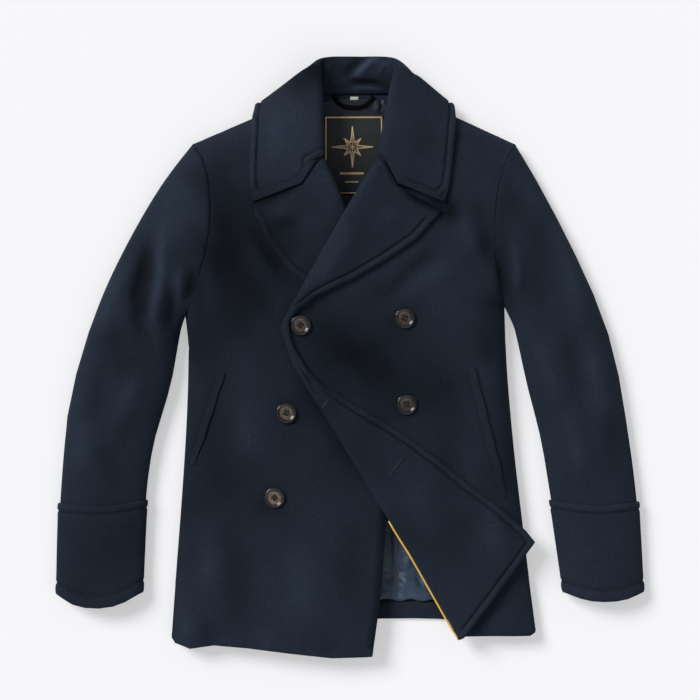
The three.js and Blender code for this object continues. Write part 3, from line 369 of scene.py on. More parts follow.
def soften(piece, levels, crease=1.0):
    onlyActive(piece)
    bpy.ops.object.mode_set(mode="EDIT")
    bpy.ops.mesh.select_all(action="DESELECT")
    bpy.ops.mesh.edges_select_sharp(sharpness=sharpAngle)
    bpy.ops.transform.edge_crease(value=crease)
    bpy.ops.object.mode_set(mode="OBJECT")
    smoothing = piece.modifiers.new("Soften", "SUBSURF")
    smoothing.levels = levels
    smoothing.render_levels = levels
    bpy.ops.object.modifier_apply(modifier=smoothing.name)


def reachFrom(piece, rimName, places, outer):
    # distance in mm from each outer point to the marked rim
    rim = layerValues(piece, rimName) > 0.995
    ends = np.empty(len(piece.data.edges) * 2, int)
    piece.data.edges.foreach_get("vertices", ends)
    ends = ends.reshape(-1, 2)
    onRim = ends[rim[ends[:, 0]] & rim[ends[:, 1]]]
    reach = np.full(len(places), 200.0)
    if len(onRim):
        starts, stops = places[onRim[:, 0]], places[onRim[:, 1]]
        tree = cloud(np.concatenate([starts, (starts * 2 + stops) / 3, (starts + stops * 2) / 3, stops]))
        spots = np.nonzero(outer)[0]
        reach[spots] = [tree.find(spot)[2] * 1000 for spot in places[spots].tolist()]
    return reach


def cornerLists(piece):
    # the point of every face corner, and where each face's corners start
    corners = np.empty(len(piece.data.loops), int)
    piece.data.loops.foreach_get("vertex_index", corners)
    starts = np.empty(len(piece.data.polygons), int)
    piece.data.polygons.foreach_get("loop_start", starts)
    return corners, starts


def wallNormals(piece, side):
    # point normals from the outer wall alone, so that a rim keeps the wall's direction
    corners, starts = cornerLists(piece)
    facing = np.empty(len(starts) * 3)
    piece.data.polygons.foreach_get("normal", facing)
    areas = np.empty(len(starts))
    piece.data.polygons.foreach_get("area", areas)
    onWall = np.minimum.reduceat(side[corners], starts) > 0.999
    weighted = facing.reshape(-1, 3) * (areas * onWall)[:, None]
    counts = np.diff(np.append(starts, len(corners)))
    total = np.zeros((len(side), 3))
    np.add.at(total, corners, np.repeat(weighted, counts, axis=0))
    length = np.linalg.norm(total, axis=1)
    own = np.empty(len(total) * 3)
    piece.data.vertices.foreach_get("normal", own)
    own = own.reshape(-1, 3)
    return np.where(length[:, None] > 0, total / np.maximum(length, 1e-12)[:, None], own)


def refineRims(piece, reach, within, largest):
    # smaller faces along the rims, so that the rolled edge and its groove have room
    onlyActive(piece)
    bpy.context.tool_settings.mesh_select_mode = (False, False, True)
    corners, starts = cornerLists(piece)
    areas = np.empty(len(starts))
    piece.data.polygons.foreach_get("area", areas)
    wide = (areas > largest / 1e6) & (np.minimum.reduceat(reach[corners], starts) < within)
    bpy.ops.object.mode_set(mode="EDIT")
    bpy.ops.mesh.select_all(action="DESELECT")
    bpy.ops.object.mode_set(mode="OBJECT")
    piece.data.polygons.foreach_set("select", wide)
    bpy.ops.object.mode_set(mode="EDIT")
    bpy.ops.mesh.subdivide(number_cuts=1)
    bpy.ops.object.mode_set(mode="OBJECT")


def rimReach(piece, nodeName):
    places = meshPoints(piece)
    outer = layerValues(piece, "outerSide") > 0.5
    free = reachFrom(piece, "freeRim", places, outer)
    sewn = reachFrom(piece, "sewnRim", places, outer)
    pocket, pocketNear = pocketShape(nodeName, places[:, 0] * 1000, places[:, 1] * 1000)
    pressed = np.full(len(places), 200.0)
    if nodeName in presses:
        # seen from above, how near the edge of the piece on top is
        edge = cloud([(rim.x, rim.y, 0) for rim in samples[presses[nodeName][0]]])
        spots = np.nonzero(outer)[0]
        pressed[spots] = [edge.find((px, py, 0))[2] * 1000 for px, py in places[spots, :2].tolist()]
    return places, free, sewn, pocket, np.where(outer, pocketNear, 200), pressed


def rollEdges(piece, nodeName, band, refine, upright):
    for within, largest in rimSteps if refine else ():
        places, free, sewn, pocket, pocketNear, pressed = rimReach(piece, nodeName)
        near = np.minimum(pocketNear, pressed)
        if within > 5:
            near = np.minimum(near + 6, np.minimum(free if band else 200, sewn + 4))
        if near.min() < within:
            refineRims(piece, near, within, largest)
    places, free, sewn, pocket, pocketNear, pressed = rimReach(piece, nodeName)
    x, y = places[:, 0] * 1000, places[:, 1] * 1000
    side = layerValues(piece, "outerSide")
    normals = wallNormals(piece, side)
    uneven = 0.78 + 0.22 * np.sin(x / 5.3 + y / 9.1) * np.sin(x / 11.7 - y / 6.3)
    # seams sink straight down or up, so that neighbours stay closed where they meet
    sink = -seamDip["depth"] * np.exp(-(sewn / seamDip["width"]) ** 2)
    sink += seamDip["puff"] * uneven * np.exp(-((sewn - seamDip["puffAt"]) / 4) ** 2)
    shift = pocket * (normals[:, 2] > 0.3)
    # painted shade: the colour darkens in the seam grooves and the pocket lines, and lightens a little on the tacks
    tone = -0.55 * np.exp(-(sewn / 1.9) ** 2)
    tone += 0.38 * np.clip(pocket, -1.8, 0.6)
    if nodeName in presses:
        above, wide, deep = presses[nodeName]
        press = np.exp(-(pressed / wide) ** 2) * (normals[:, 2] > 0.3)
        shift -= deep * press
        # painted shadow: the colour darkens under the edge of the piece lying on top
        tone -= 0.6 * press
    if band:
        width = np.where(y < -300, band.get("hemWidth", band["width"]), band["width"])
        share = bandShare(x, y)
        arch = np.sin(np.pi * np.clip((free + 0.6) / (width + 0.6), 0, 1)) ** 0.75
        shift += band["rise"] * uneven * arch * (free < width) * share
        shift -= 0.5 * np.exp(-(free / 1.2) ** 2)
        shift -= band["groove"] * np.exp(-((free - width) / band["grooveWidth"]) ** 2) * share
        shift += 0.25 * band["rise"] * uneven * np.exp(-((free - width - 6) / 4) ** 2) * share
        # painted light and shade: the band's rolled ridge is lighter and its groove darker
        strength = min(1, band["rise"] / 1.9) * share
        tone += strength * (0.14 * arch * (free < width) - 0.5 * np.exp(-((free - width) / 1.7) ** 2))
    shift *= side
    places += normals * shift[:, None] / 1000
    places[:, 2] += sink * side * (1 if upright else -1) / 1000
    setMeshPoints(piece, places)
    storeLayer(piece, "edgeReach", free - width if band else free)
    storeLayer(piece, "bandShare", share if band else np.ones(len(free)))
    storeLayer(piece, "paintedLineShade", np.maximum(tone, -0.8) * side)


woolPieces = {
    # solid: (subdivisions, its outer wall is the lower one, band, sewn to, flat cut and area in m)
    "back": (2, True, None, ["front_left", "front_right", "sleeve_under_right", "sleeve_under_left"],
             (0.52, 0.80, 0.345)),
    "front_left": (2, False, None, ["back", "sleeve_upper_left"], (0.40, 0.80, 0.222)),
    "front_right": (2, False, hemBand, ["back", "sleeve_upper_right"], (0.40, 0.80, 0.222)),
    "sleeve_upper_right": (3, False, None, ["sleeve_under_right", "front_right"], (0.20, 0.66, 0.081)),
    "sleeve_under_right": (2, True, None, ["sleeve_upper_right", "back"], (0.20, 0.64, 0.079)),
    "sleeve_upper_left": (3, False, None, ["sleeve_under_left", "front_left"], (0.20, 0.66, 0.078)),
    "sleeve_under_left": (2, True, None, ["sleeve_upper_left", "back"], (0.20, 0.64, 0.076)),
    "facing_left": (3, False, edgeBand, [], (0.17, 0.74, 0.066)),
    "facing_right": (3, False, edgeBand, [], (0.17, 0.74, 0.084)),
    "cuff_right": (3, False, cuffBand, [], (0.275, 0.145, 0.037)),
    "cuff_left": (3, False, cuffBand, [], (0.275, 0.145, 0.035)),
    "collar_upper": (3, False, edgeBand, [], (0.56, 0.15, 0.071)),
    "collar_under": (2, True, None, [], (0.555, 0.145, 0.066)),
    "pocket_welt_right": (3, False, None, [], (0.016, 0.14, 0.0022)),
    "pocket_welt_left": (3, False, None, [], (0.016, 0.19, 0.0029)),
}
made = {}
samples = {}
for nodeName in woolPieces:
    made[nodeName] = copySolid(nodeName, "cloth_" + nodeName)
    samples[nodeName] = rimSamples(made[nodeName])
for nodeName, (levels, lowest, band, joins, cut) in woolPieces.items():
    sewnTo = cloud(sum((samples[n] for n in joins), [])) if joins else None
    markRims(made[nodeName], lowest, sewnTo, nodeName.startswith("cuff"))
    soften(made[nodeName], levels, 0.35 if nodeName.startswith("pocket_welt") else 1.0)


def closeSeams(within):
    # both walls of a sewn edge are drawn to the middle of the gap beside it
    bpy.context.view_layer.update()
    graph = bpy.context.evaluated_depsgraph_get()
    trees = {n: BVHTree.FromObject(made[n], graph) for n in woolPieces}
    moves = {}
    for nodeName, (levels, lowest, band, joins, cut) in woolPieces.items():
        if joins:
            places = meshPoints(made[nodeName])
            moved = places.copy()
            for index in np.nonzero(layerValues(made[nodeName], "sewnRim") > 0.995)[0]:
                here = Vector(places[index])
                near = [trees[n].find_nearest(here, within / 1000) for n in joins]
                near = [(gap, place) for place, _, _, gap in near if place is not None]
                if near:
                    moved[index] = (here + min(near)[1]) / 2
            moves[nodeName] = moved
    for nodeName, moved in moves.items():
        setMeshPoints(made[nodeName], moved)


closeSeams(1.2)
for nodeName, (levels, lowest, band, joins, cut) in woolPieces.items():
    plain = nodeName in ("collar_under", "pocket_welt_right", "pocket_welt_left")
    rollEdges(made[nodeName], nodeName, band, not plain, not lowest)
closeSeams(2.0)
for nodeName, (levels, lowest, band, joins, cut) in woolPieces.items():
    piece = made[nodeName]
    flat = meshPoints(piece)
    moved = settle(flat)
    # painted shade: the colour is darker in the folds' troughs and lighter on their ridges, in step with their
    # height
    storeLayer(piece, "foldPaintedShade", (moved[:, 2] - flat[:, 2]) * 1000)
    if nodeName.startswith("pocket_welt"):
        # the welt is sewn down into the thick cloth, and runs out at its lower end
        welt = welts[nodeName.split("_")[-1]]
        (x0, y0), (x1, y1) = welt["from"], welt["to"]
        reach = math.hypot(x1 - x0, y1 - y0)
        dx, dy = (x1 - x0) / reach, (y1 - y0) / reach
        x, y = flat[:, 0] * 1000 - x0, flat[:, 1] * 1000 - y0
        along, across = x * dx + y * dy, -x * dy + y * dx
        narrow = across * (-0.08 - 0.2 * smoothRange(0.75, 1, along / reach)) + 0.5 * np.sin(along / 7)
        moved[:, 0] += -dy * narrow / 1000
        moved[:, 1] += dx * narrow / 1000
        moved[:, 2] -= (1.0 + 1.6 * smoothRange(0.7, 1, along / reach)) / 1000
        # painted shade: the welt's middle is a little lighter and its turned-down sides darker
        storeLayer(piece, "paintedLineShade", 0.12 - 0.5 * smoothRange(4.2, 6.6, np.abs(across)))
    setMeshPoints(piece, moved)
    print("coat: cloth", nodeName, sum(len(face.vertices) - 2 for face in piece.data.polygons), "triangles")


# Lining: quilted squares with puckers along their seams, and a few creases, in mm.
quilt = {"square": 56, "x": 67.2, "y": -302.3, "top": 205, "pucker": 1.1, "sink": 1.2, "lowWave": 1.7}
liningCreases = [
    ([(52, -226), (56, -262), (60, -340)], 4, -3.0),
    ([(60, -226), (66, -258), (70, -298)], 4, 3.0),
    ([(60, -236), (70, -262), (70, -296)], 3.5, -2.4),
    ([(80, -262), (84, -284), (76, -304)], 4, 3.0),
    ([(46, -312), (54, -326), (46, -342)], 4, 2.8),
    ([(70, -312), (92, -322), (114, -330)], 4, 3.0),
    ([(88, -302), (98, -314), (100, -336)], 3.5, -2.4),
    ([(58, -300), (52, -318), (60, -340)], 3.5, -2.4),
    ([(72, -300), (78, -316), (72, -340)], 3.5, 2.6),
    ([(104, -310), (114, -322), (124, -340)], 3.5, 2.4),
    ([(-30, 100), (-10, 60), (-24, 10)], 6, 2.0),
    ([(60, 150), (90, 110), (80, 60)], 6, 2.0),
    ([(36, 364), (40, 352), (34, 340)], 3, 2.0),
    ([(46, 364), (50, 350), (46, 336)], 3, 1.8),
]


def ruffleLining(piece):
    places = meshPoints(piece)
    x, y, z = (places[:, i] * 1000 for i in range(3))
    high = np.empty(len(places) * 3)
    piece.data.vertices.foreach_get("normal", high)
    top = smoothRange(0.1, 0.6, high.reshape(-1, 3)[:, 2])
    half = quilt["square"] / 2
    gapX = np.abs((x - quilt["x"] + half) % quilt["square"] - half)
    gapY = np.abs((y - quilt["y"] + half) % quilt["square"] - half)
    pull = np.exp(-gapX / 9) * np.sin(y / 2.9 + 1.5 * np.sin(x / 11)) * np.sin(y / 7.1 + x / 19)
    pull += np.exp(-gapY / 9) * np.sin(x / 2.7 + 1.5 * np.sin(y / 12)) * np.sin(x / 6.7 + y / 23)
    sink = np.exp(-(gapX / 1.6) ** 2) + np.exp(-(gapY / 1.6) ** 2)
    inQuilt = 1 - smoothRange(quilt["top"], quilt["top"] + 12, y)
    edge = smoothRange(-342, -330, y)
    rise = (quilt["pucker"] * pull - quilt["sink"] * sink) * inQuilt * edge
    rise += foldHeight(liningCreases, x, y)
    places[:, 2] += rise * top / 1000
    # the loose lower edge waves
    low = 1 - smoothRange(-343, -322, y)
    places[:, 1] += quilt["lowWave"] * low * np.sin(x / 6.1 + 0.8 * np.sin(x / 13)) / 1000
    places[:, 2] += 0.9 * low * (1 + np.sin(x / 6.1 + 1.9)) * top / 1000
    setMeshPoints(piece, places)


lining = copySolid("lining_back", "satin_lining_back")
soften(lining, 3)
ruffleLining(lining)
setMeshPoints(lining, settle(meshPoints(lining)))
loop = copySolid("hanger_loop", "satin_hanger_loop")
soften(loop, 3)
label = copySolid("neck_label", "woven_neck_label")
soften(label, 3)
tag = copySolid("size_tag", "woven_size_tag")
soften(tag, 2)
cordEdge = copySolid("piping", "satin_piping")
soften(cordEdge, 2)


def plump(piece, outward, shift, ends=None):
    # thicker along its normals, moved by shift in mm, thinner towards its two ends
    places = meshPoints(piece)
    normals = np.empty(len(places) * 3)
    piece.data.vertices.foreach_get("normal", normals)
    share = np.full(len(places), 1.0)
    if ends:
        high, low = ends
        share = (1 - smoothRange(high - 25, high, places[:, 1] * 1000)) * smoothRange(low, low + 20, places[:, 1] * 1000)
        share = 0.35 + 0.65 * share
    move = normals.reshape(-1, 3) * outward + np.array(shift)
    setMeshPoints(piece, places + move * share[:, None] / 1000)


cordPlaces = meshPoints(cordEdge)  # it starts a little higher, under the fold
foot = cordPlaces[cordPlaces[:, 1].argmin()]
setMeshPoints(cordEdge, foot + (cordPlaces - foot) * 1.05)
plump(cordEdge, -0.1, (-2.1, -1.2, 1.5), (-222, -396))
plump(loop, 0.8, (0, 0, 0.8))
for piece in (loop, label, tag, cordEdge):
    setMeshPoints(piece, settle(meshPoints(piece)))
print("coat: lining and trims made")


# Sewing. Every stitch is a short thread lying on the cloth, in mm.
stitch = {"pitch": 3.4, "length": 2.6, "radius": 0.26}


def startSewing():
    return {"verts": [], "faces": []}


def layStitch(store, start, end, normal, radius):
    run = (end - start).normalized()
    across = run.cross(normal).normalized()
    up = across.cross(run).normalized()
    base = len(store["verts"])
    for share, size, rise in ((0, 0.4, -0.5), (0.22, 1, 0.1), (0.78, 1, 0.1), (1, 0.4, -0.5)):
        middle = start.lerp(end, share) + up * (rise * radius)
        for step in range(5):
            angle = math.pi * step / 2.5
            spread = across * (math.cos(angle) * radius * size) + up * (math.sin(angle) * radius * size)
            store["verts"].append(middle + spread)
    for ring in range(3):
        for step in range(5):
            a, b = base + ring * 5 + step, base + ring * 5 + (step + 1) % 5
            store["faces"].append((a, b, b + 5, a + 5))
    store["faces"].append(tuple(base + step for step in reversed(range(5))))
    store["faces"].append(tuple(base + 15 + step for step in range(5)))


def walkRun(run):
    # run: places with normals. Gives a function from a distance in metres to a place and normal.
    lengths = [0]
    for (a, _), (b, _) in zip(run[:-1], run[1:]):
        lengths.append(lengths[-1] + (b - a).length)
    reach = np.array(lengths)

    def at(distance):
        index = int(np.clip(np.searchsorted(reach, distance), 1, len(run) - 1))
        share = (distance - reach[index - 1]) / max(1e-9, reach[index] - reach[index - 1])
        (a, n), (b, m) = run[index - 1], run[index]
        return a.lerp(b, share), n.lerp(m, share).normalized()

    return at, lengths[-1]


def sewAlong(store, run, pitch=None, length=None, radius=None):
    pitch = (pitch or stitch["pitch"]) / 1000
    length = (length or stitch["length"]) / 1000
    radius = (radius or stitch["radius"]) / 1000
    at, total = walkRun(run)
    done = pitch * 0.3
    while done + length < total:
        start, normal = at(done)
        end, other = at(done + length)
        up = (normal + other).normalized()
        if (end - start).length > length * 0.5:
            layStitch(store, start + up * radius * 0.5, end + up * radius * 0.5, up, radius)
        done += pitch * (1 + 0.06 * (dice.random() - 0.5))


def sewAcross(store, run, width, pitch, radius, lift=0.0):
    # satin stitches laid side by side across a line
    at, total = walkRun(run)
    done = 0.0
    while done < total:
        place, normal = at(done)
        ahead, _ = at(min(total, done + 0.0004))
        behind, _ = at(max(0.0, done - 0.0004))
        across = (ahead - behind).cross(normal)
        if across.length > 1e-9:
            across.normalize()
            reach = across * (width / 2000)
            up = normal * ((radius * 0.5 + lift) / 1000)
            layStitch(store, place - reach + up, place + reach + up, normal, radius / 1000)
        done += pitch / 1000


def isoLine(piece, values, level, facingUp=None):
    # places and normals where a value on the surface crosses a level, joined in runs
    mesh = bmesh.new()
    mesh.from_mesh(piece.data)
    side = (layerValues(piece, "outerSide") > 0.6) & (layerValues(piece, "bandShare") > 0.35)
    mesh.edges.ensure_lookup_table()
    ends = np.empty(len(piece.data.edges) * 2, int)
    piece.data.edges.foreach_get("vertices", ends)
    a, b = ends[::2], ends[1::2]
    crossed = np.nonzero(side[a] & side[b] & ((values[a] - level) * (values[b] - level) < 0))[0]
    crossings, links, touched = {}, {}, set()
    for index in crossed.tolist():
        edge = mesh.edges[index]
        low, high = (values[v.index] for v in edge.verts)
        t = (level - low) / (high - low)
        place = edge.verts[0].co.lerp(edge.verts[1].co, t)
        normal = edge.verts[0].normal.lerp(edge.verts[1].normal, t).normalized()
        if facingUp is None or normal.z * facingUp > 0.15:
            crossings[index] = (place, normal)
            links[index] = []
            touched.update(edge.link_faces)
    for face in sorted(touched, key=lambda f: f.index):
        hit = [e.index for e in face.edges if e.index in crossings]
        if len(hit) == 2:
            links[hit[0]].append(hit[1])
            links[hit[1]].append(hit[0])
    mesh.free()
    runs, seen = [], set()
    for first in sorted(crossings, key=lambda k: (len(links[k]) != 1, k)):
        run, here = [], first if first not in seen else None
        while here is not None:
            seen.add(here)
            run.append(crossings[here])
            here = next((n for n in links[here] if n not in seen), None)
        if len(run) > 4:
            runs.append(run)
    return runs


surfaces = {}


def surfaceOf(piece):
    if piece.name not in surfaces:
        surfaces[piece.name] = BVHTree.FromObject(piece, bpy.context.evaluated_depsgraph_get())
    tree = surfaces[piece.name]

    def drop(x, y):
        # where a plumb line at x, y in mm meets the piece
        place, normal, _, _ = tree.ray_cast(Vector((x / 1000, y / 1000, 0.2)), Vector((0, 0, -1)))
        return None if place is None else (place, normal)

    return drop


def overCloth(drop, points, step=1.5):
    # a line given in mm, laid on the cloth below it
    run = []
    for (x0, y0), (x1, y1) in zip(points[:-1], points[1:]):
        count = max(1, int(math.hypot(x1 - x0, y1 - y0) / step))
        for i in range(count + (1 if (x1, y1) == points[-1] else 0)):
            hit = drop(x0 + (x1 - x0) * i / count, y0 + (y1 - y0) * i / count)
            if hit:
                run.append(hit)
    return run


bpy.context.view_layer.update()
navy = startSewing()
for nodeName, up in (("collar_upper", None), ("facing_left", 1), ("facing_right", 1),
                     ("front_right", 1), ("cuff_right", None), ("cuff_left", None)):
    for run in isoLine(made[nodeName], layerValues(made[nodeName], "edgeReach"), 0.0, up):
        sewAlong(navy, run)

# pockets: a line of stitches beside each welt, and a round tack above it
for welt in welts.values():
    drop = surfaceOf(made[welt["piece"]])
    (x0, y0), (x1, y1) = welt["from"], welt["to"]
    reach = math.hypot(x1 - x0, y1 - y0)
    ax, ay = -(y1 - y0) / reach, (x1 - x0) / reach
    inner = -9.4 * welt["mouth"] * (1 if ax > 0 else -1)
    line = [(x0 + ax * inner, y0 + ay * inner), (x1 + ax * inner, y1 + ay * inner)]
    sewAlong(navy, overCloth(drop, line))
    cx, cy = welt["tack"]
    for size in (6.6, 9.4):
        ring = [(cx + size * math.cos(t / 8), cy + size * math.sin(t / 8)) for t in range(0, 51)]
        sewAlong(navy, overCloth(drop, ring), 2.6, 2.0, 0.3)

# buttonholes of the folded-back flap
flap = surfaceOf(made["facing_left"])
holes = startSewing()
for x0, y0, x1, y1 in ((55.5, -164.5, 74.5, -140.5), (-36.5, -70.5, -29.5, -59.5)):
    reach = math.hypot(x1 - x0, y1 - y0)
    ax, ay = -(y1 - y0) / reach, (x1 - x0) / reach
    for offset in (-1.3, 1.3):
        line = [(x0 + ax * offset, y0 + ay * offset), (x1 + ax * offset, y1 + ay * offset)]
        sewAcross(holes if offset > 0 else navy, overCloth(flap, line), 1.8, 0.8, 0.3)
    eye = [(x1 + 2.6 * math.cos(t / 3), y1 + 2.6 * math.sin(t / 3)) for t in range(0, 20)]
    sewAcross(navy, overCloth(flap, eye, 0.8), 1.8, 0.7, 0.32)

# quilting of the lining
slate = startSewing()
drop = surfaceOf(lining)
for k in range(-5, 4):
    x = quilt["x"] + k * quilt["square"]
    sewAlong(slate, overCloth(drop, [(x, -336), (x, 200)]), 3.2, 2.4, 0.2)
for k in range(0, 9):
    y = quilt["y"] + k * quilt["square"]
    sewAlong(slate, overCloth(drop, [(-200, y), (205, y)]), 3.2, 2.4, 0.2)


# Neck label: gold border, a plain eight-point star and two bars, in satin stitch.
labelWork = {"left": -34, "right": 44.5, "bottom": 230.5, "top": 336.5, "star": (3.5, 295),
             "long": 29, "short": 17}
gold = startSewing()
drop = surfaceOf(label)
left, right, bottom, top = (labelWork[k] for k in ("left", "right", "bottom", "top"))
# the right line stops where the collar's seam is stitched through the label
for line in ([(left, top), (right, top)], [(right, top), (right, 300)], [(right, 262), (right, bottom)],
             [(right, bottom), (left, bottom)], [(left, bottom), (left, top)]):
    sewAcross(gold, overCloth(drop, line), 2.0, 0.62, 0.36)
starX, starY = labelWork["star"]
for step in range(8):
    angle = math.pi * step / 4
    tip = labelWork["long"] if step % 2 == 0 else labelWork["short"]
    for turn in (-1, 1):
        inner = angle + turn * math.pi / 8
        start = (starX + 6.5 * math.cos(inner), starY + 6.5 * math.sin(inner))
        end = (starX + tip * math.cos(angle), starY + tip * math.sin(angle))
        sewAcross(gold, overCloth(drop, [start, end], 0.8), 1.5, 0.6, 0.34)
    spine = [(starX, starY), (starX + tip * math.cos(angle), starY + tip * math.sin(angle))]
    sewAcross(gold, overCloth(drop, spine, 0.8), 0.9, 0.6, 0.3)
sewAcross(gold, overCloth(drop, [(-14, 258), (19, 258)]), 3.4, 0.62, 0.36)
sewAcross(gold, overCloth(drop, [(-7, 246), (12, 246)]), 1.8, 0.62, 0.36)


# Buttons: a raised rim round a dished centre with four holes, in mm.
button = {"radius": 14, "height": 4.4, "rim": 2.8, "dish": 1.7, "hole": 1.25, "spacing": 2.5, "sunk": 0.5}
buttonTones = {1: 0.7, 2: 0.55, 3: 1.0, 4: 0.35, 5: 1.7, 6: 0.7}


def modelButton():
    radius, height = button["radius"] / 1000, button["height"] / 1000
    bpy.ops.object.select_all(action="DESELECT")
    bpy.ops.mesh.primitive_cylinder_add(vertices=48, radius=radius, depth=height, location=(0, 0, height / 2))
    disc = bpy.context.object
    bpy.ops.object.transform_apply(location=True)
    bpy.context.tool_settings.mesh_select_mode = (False, False, True)
    for face in disc.data.polygons:
        face.select = face.normal.z > 0.9
    bpy.ops.object.mode_set(mode="EDIT")
    bpy.ops.mesh.inset(thickness=button["rim"] / 1000, depth=0)
    bpy.ops.mesh.inset(thickness=0.0016, depth=-button["dish"] / 1000)
    bpy.ops.mesh.inset(thickness=0.0032, depth=-0.0003)
    bpy.ops.object.mode_set(mode="OBJECT")
    bpy.ops.object.select_all(action="DESELECT")
    rounding = disc.modifiers.new("Round", "BEVEL")
    rounding.width = 0.0009
    rounding.segments = 3
    rounding.limit_method = "ANGLE"
    rounding.angle_limit = math.radians(28)
    onlyActive(disc)
    bpy.ops.object.modifier_apply(modifier=rounding.name)
    for sx, sy in ((1, 1), (-1, 1), (-1, -1), (1, -1)):
        bpy.ops.object.select_all(action="DESELECT")
        bpy.ops.mesh.primitive_cylinder_add(
            vertices=16, radius=button["hole"] / 1000, depth=0.02,
            location=(sx * button["spacing"] / 1000, sy * button["spacing"] / 1000, 0))
        drill = bpy.context.object
        onlyActive(disc)
        cut = disc.modifiers.new("Hole", "BOOLEAN")
        cut.operation = "DIFFERENCE"
        cut.object = drill
        bpy.ops.object.modifier_apply(modifier=cut.name)
        bpy.data.objects.remove(drill)
    storeLayer(disc, "buttonReach", np.linalg.norm(meshPoints(disc)[:, :2], axis=1) * 1000)
    return disc


buttonThread = startSewing()
pattern = modelButton()
buttons = {}
for number in range(1, 7):
    nodeName = f"button_{number}"
    solid = meshPoints(cadNodes[nodeName])
    middle = solid.mean(axis=0)
    axis = Vector(np.linalg.eigh(np.cov((solid - middle).T))[1][:, 0])
    axis = axis if axis.z > 0 else -axis
    carrier = made["front_right"] if number in (3, 5) else made["front_left"]
    drop = surfaceOf(carrier)
    low = min((Vector(p) - Vector(middle)).dot(axis) for p in solid)
    base = Vector(middle) + axis * low
    highest = -1.0
    for share in (0.0, 0.5, 0.85):
        for step in range(10):
            x = base.x * 1000 + button["radius"] * share * math.cos(step * math.pi / 5)
            y = base.y * 1000 + button["radius"] * share * math.sin(step * math.pi / 5)
            hit = drop(x, y) if number != 6 else None
            if hit:
                highest = max(highest, (hit[0] - base).dot(axis))
    if highest > -0.9:
        base += axis * (highest - button["sunk"] / 1000)
    else:
        base += axis * (settle(np.array([base]))[0][2] - base.z)
    turn = Vector((0, 0, 1)).rotation_difference(axis) @ Quaternion((0, 0, 1), dice.uniform(0, 1.5))
    piece = bpy.data.objects.new("horn_" + nodeName, pattern.data.copy())
    bpy.context.collection.objects.link(piece)
    piece.data.transform(turn.to_matrix().to_4x4())
    setMeshPoints(piece, meshPoints(piece) + np.array(base))
    storeLayer(piece, "buttonTone", np.full(len(piece.data.vertices), buttonTones[number]))
    buttons[nodeName] = piece
    seat = (button["height"] - button["dish"] + 0.35) / 1000
    gapHalf = button["spacing"] / 1000
    for sy in (-1, 1):
        for strand in (-0.45, 0.0, 0.45):
            start = Vector((-gapHalf, sy * gapHalf + strand / 1000, seat))
            end = Vector((gapHalf, sy * gapHalf + strand / 1000, seat))
            layStitch(buttonThread, base + turn @ start, base + turn @ end, axis, 0.00036)
bpy.data.objects.remove(pattern)


def sewingPiece(name, store):
    mesh = bpy.data.meshes.new(name)
    mesh.from_pydata(store["verts"], [], store["faces"])
    piece = bpy.data.objects.new(name, mesh)
    bpy.context.collection.objects.link(piece)
    return piece


navySewing = sewingPiece("thread_topstitching", navy)
holeSewing = sewingPiece("thread_buttonholes", holes)
slateSewing = sewingPiece("thread_quilting", slate)
goldSewing = sewingPiece("thread_label", gold)
buttonSewing = sewingPiece("thread_buttons", buttonThread)
print("coat: sewing made,", sum(len(s["verts"]) for s in (navy, holes, slate, gold, buttonThread)) // 20, "stitches")


# Materials
woolLook = {
    "deep": "#0F141B", "mid": "#1A202B", "light": "#27303D",
    "napSize": 1.7, "cloudSize": 45, "roughness": 0.95,
}
satinLook = {"colour": "#2B3D50", "shade": "#1C2C3D", "roughness": 0.5, "wrinkle": 11}


def startMaterial(name):
    material = bpy.data.materials.new(name)
    material.use_nodes = True
    material.node_tree.nodes.clear()
    return material, material.node_tree


def makeWool():
    # wool melton, fulled and brushed: a matt, slightly hairy navy with mottled depth
    material, tree = startMaterial("wool_melton_navy")
    place = addNode(tree, "ShaderNodeTexCoord", (-1700, 0)).outputs["Object"]
    nap = addNode(tree, "ShaderNodeTexNoise", (-1450, 200), {}, {
        "Vector": place, "Scale": 1000 / woolLook["napSize"], "Detail": 3.0, "Roughness": 0.65})
    cloud = addNode(tree, "ShaderNodeTexNoise", (-1450, -100), {}, {
        "Vector": place, "Scale": 1000 / woolLook["cloudSize"], "Detail": 2.0})
    napRamp = addNode(tree, "ShaderNodeValToRGB", (-1200, 200), {}, {"Fac": nap.outputs["Fac"]})
    napRamp.color_ramp.elements[0].position = 0.3
    napRamp.color_ramp.elements[0].color = toLinear(woolLook["deep"])
    napRamp.color_ramp.elements[1].position = 0.72
    napRamp.color_ramp.elements[1].color = toLinear(woolLook["light"])
    tone = addNode(tree, "ShaderNodeMix", (-900, 100), {"data_type": "RGBA"}, {
        "Factor": cloud.outputs["Fac"], 6: napRamp.outputs["Color"], 7: toLinear(woolLook["mid"])})
    # the colour is multiplied by the pieces' painted shade and light
    paintedShadeFactor = addNode(tree, "ShaderNodeAttribute", (-900, -100), {"attribute_name": "paintedShading"})
    laid = addNode(tree, "ShaderNodeVectorMath", (-600, 60), {"operation": "SCALE"}, {
        0: tone.outputs[2], "Scale": paintedShadeFactor.outputs["Fac"]})
    bump = addNode(tree, "ShaderNodeBump", (-600, -250), {}, {
        "Height": nap.outputs["Fac"], "Strength": 0.5, "Distance": 0.0007})
    shader = addNode(tree, "ShaderNodeBsdfPrincipled", (-120, 100), {}, {
        "Base Color": laid.outputs["Vector"], "Roughness": woolLook["roughness"],
        "Normal": bump.outputs["Normal"], "Specular IOR Level": 0.1,
        "Sheen Weight": 0.14, "Sheen Roughness": 0.4, "Sheen Tint": toLinear("#7080A0")})
    addNode(tree, "ShaderNodeOutputMaterial", (180, 100), {}, {"Surface": shader.outputs["BSDF"]})
    return material


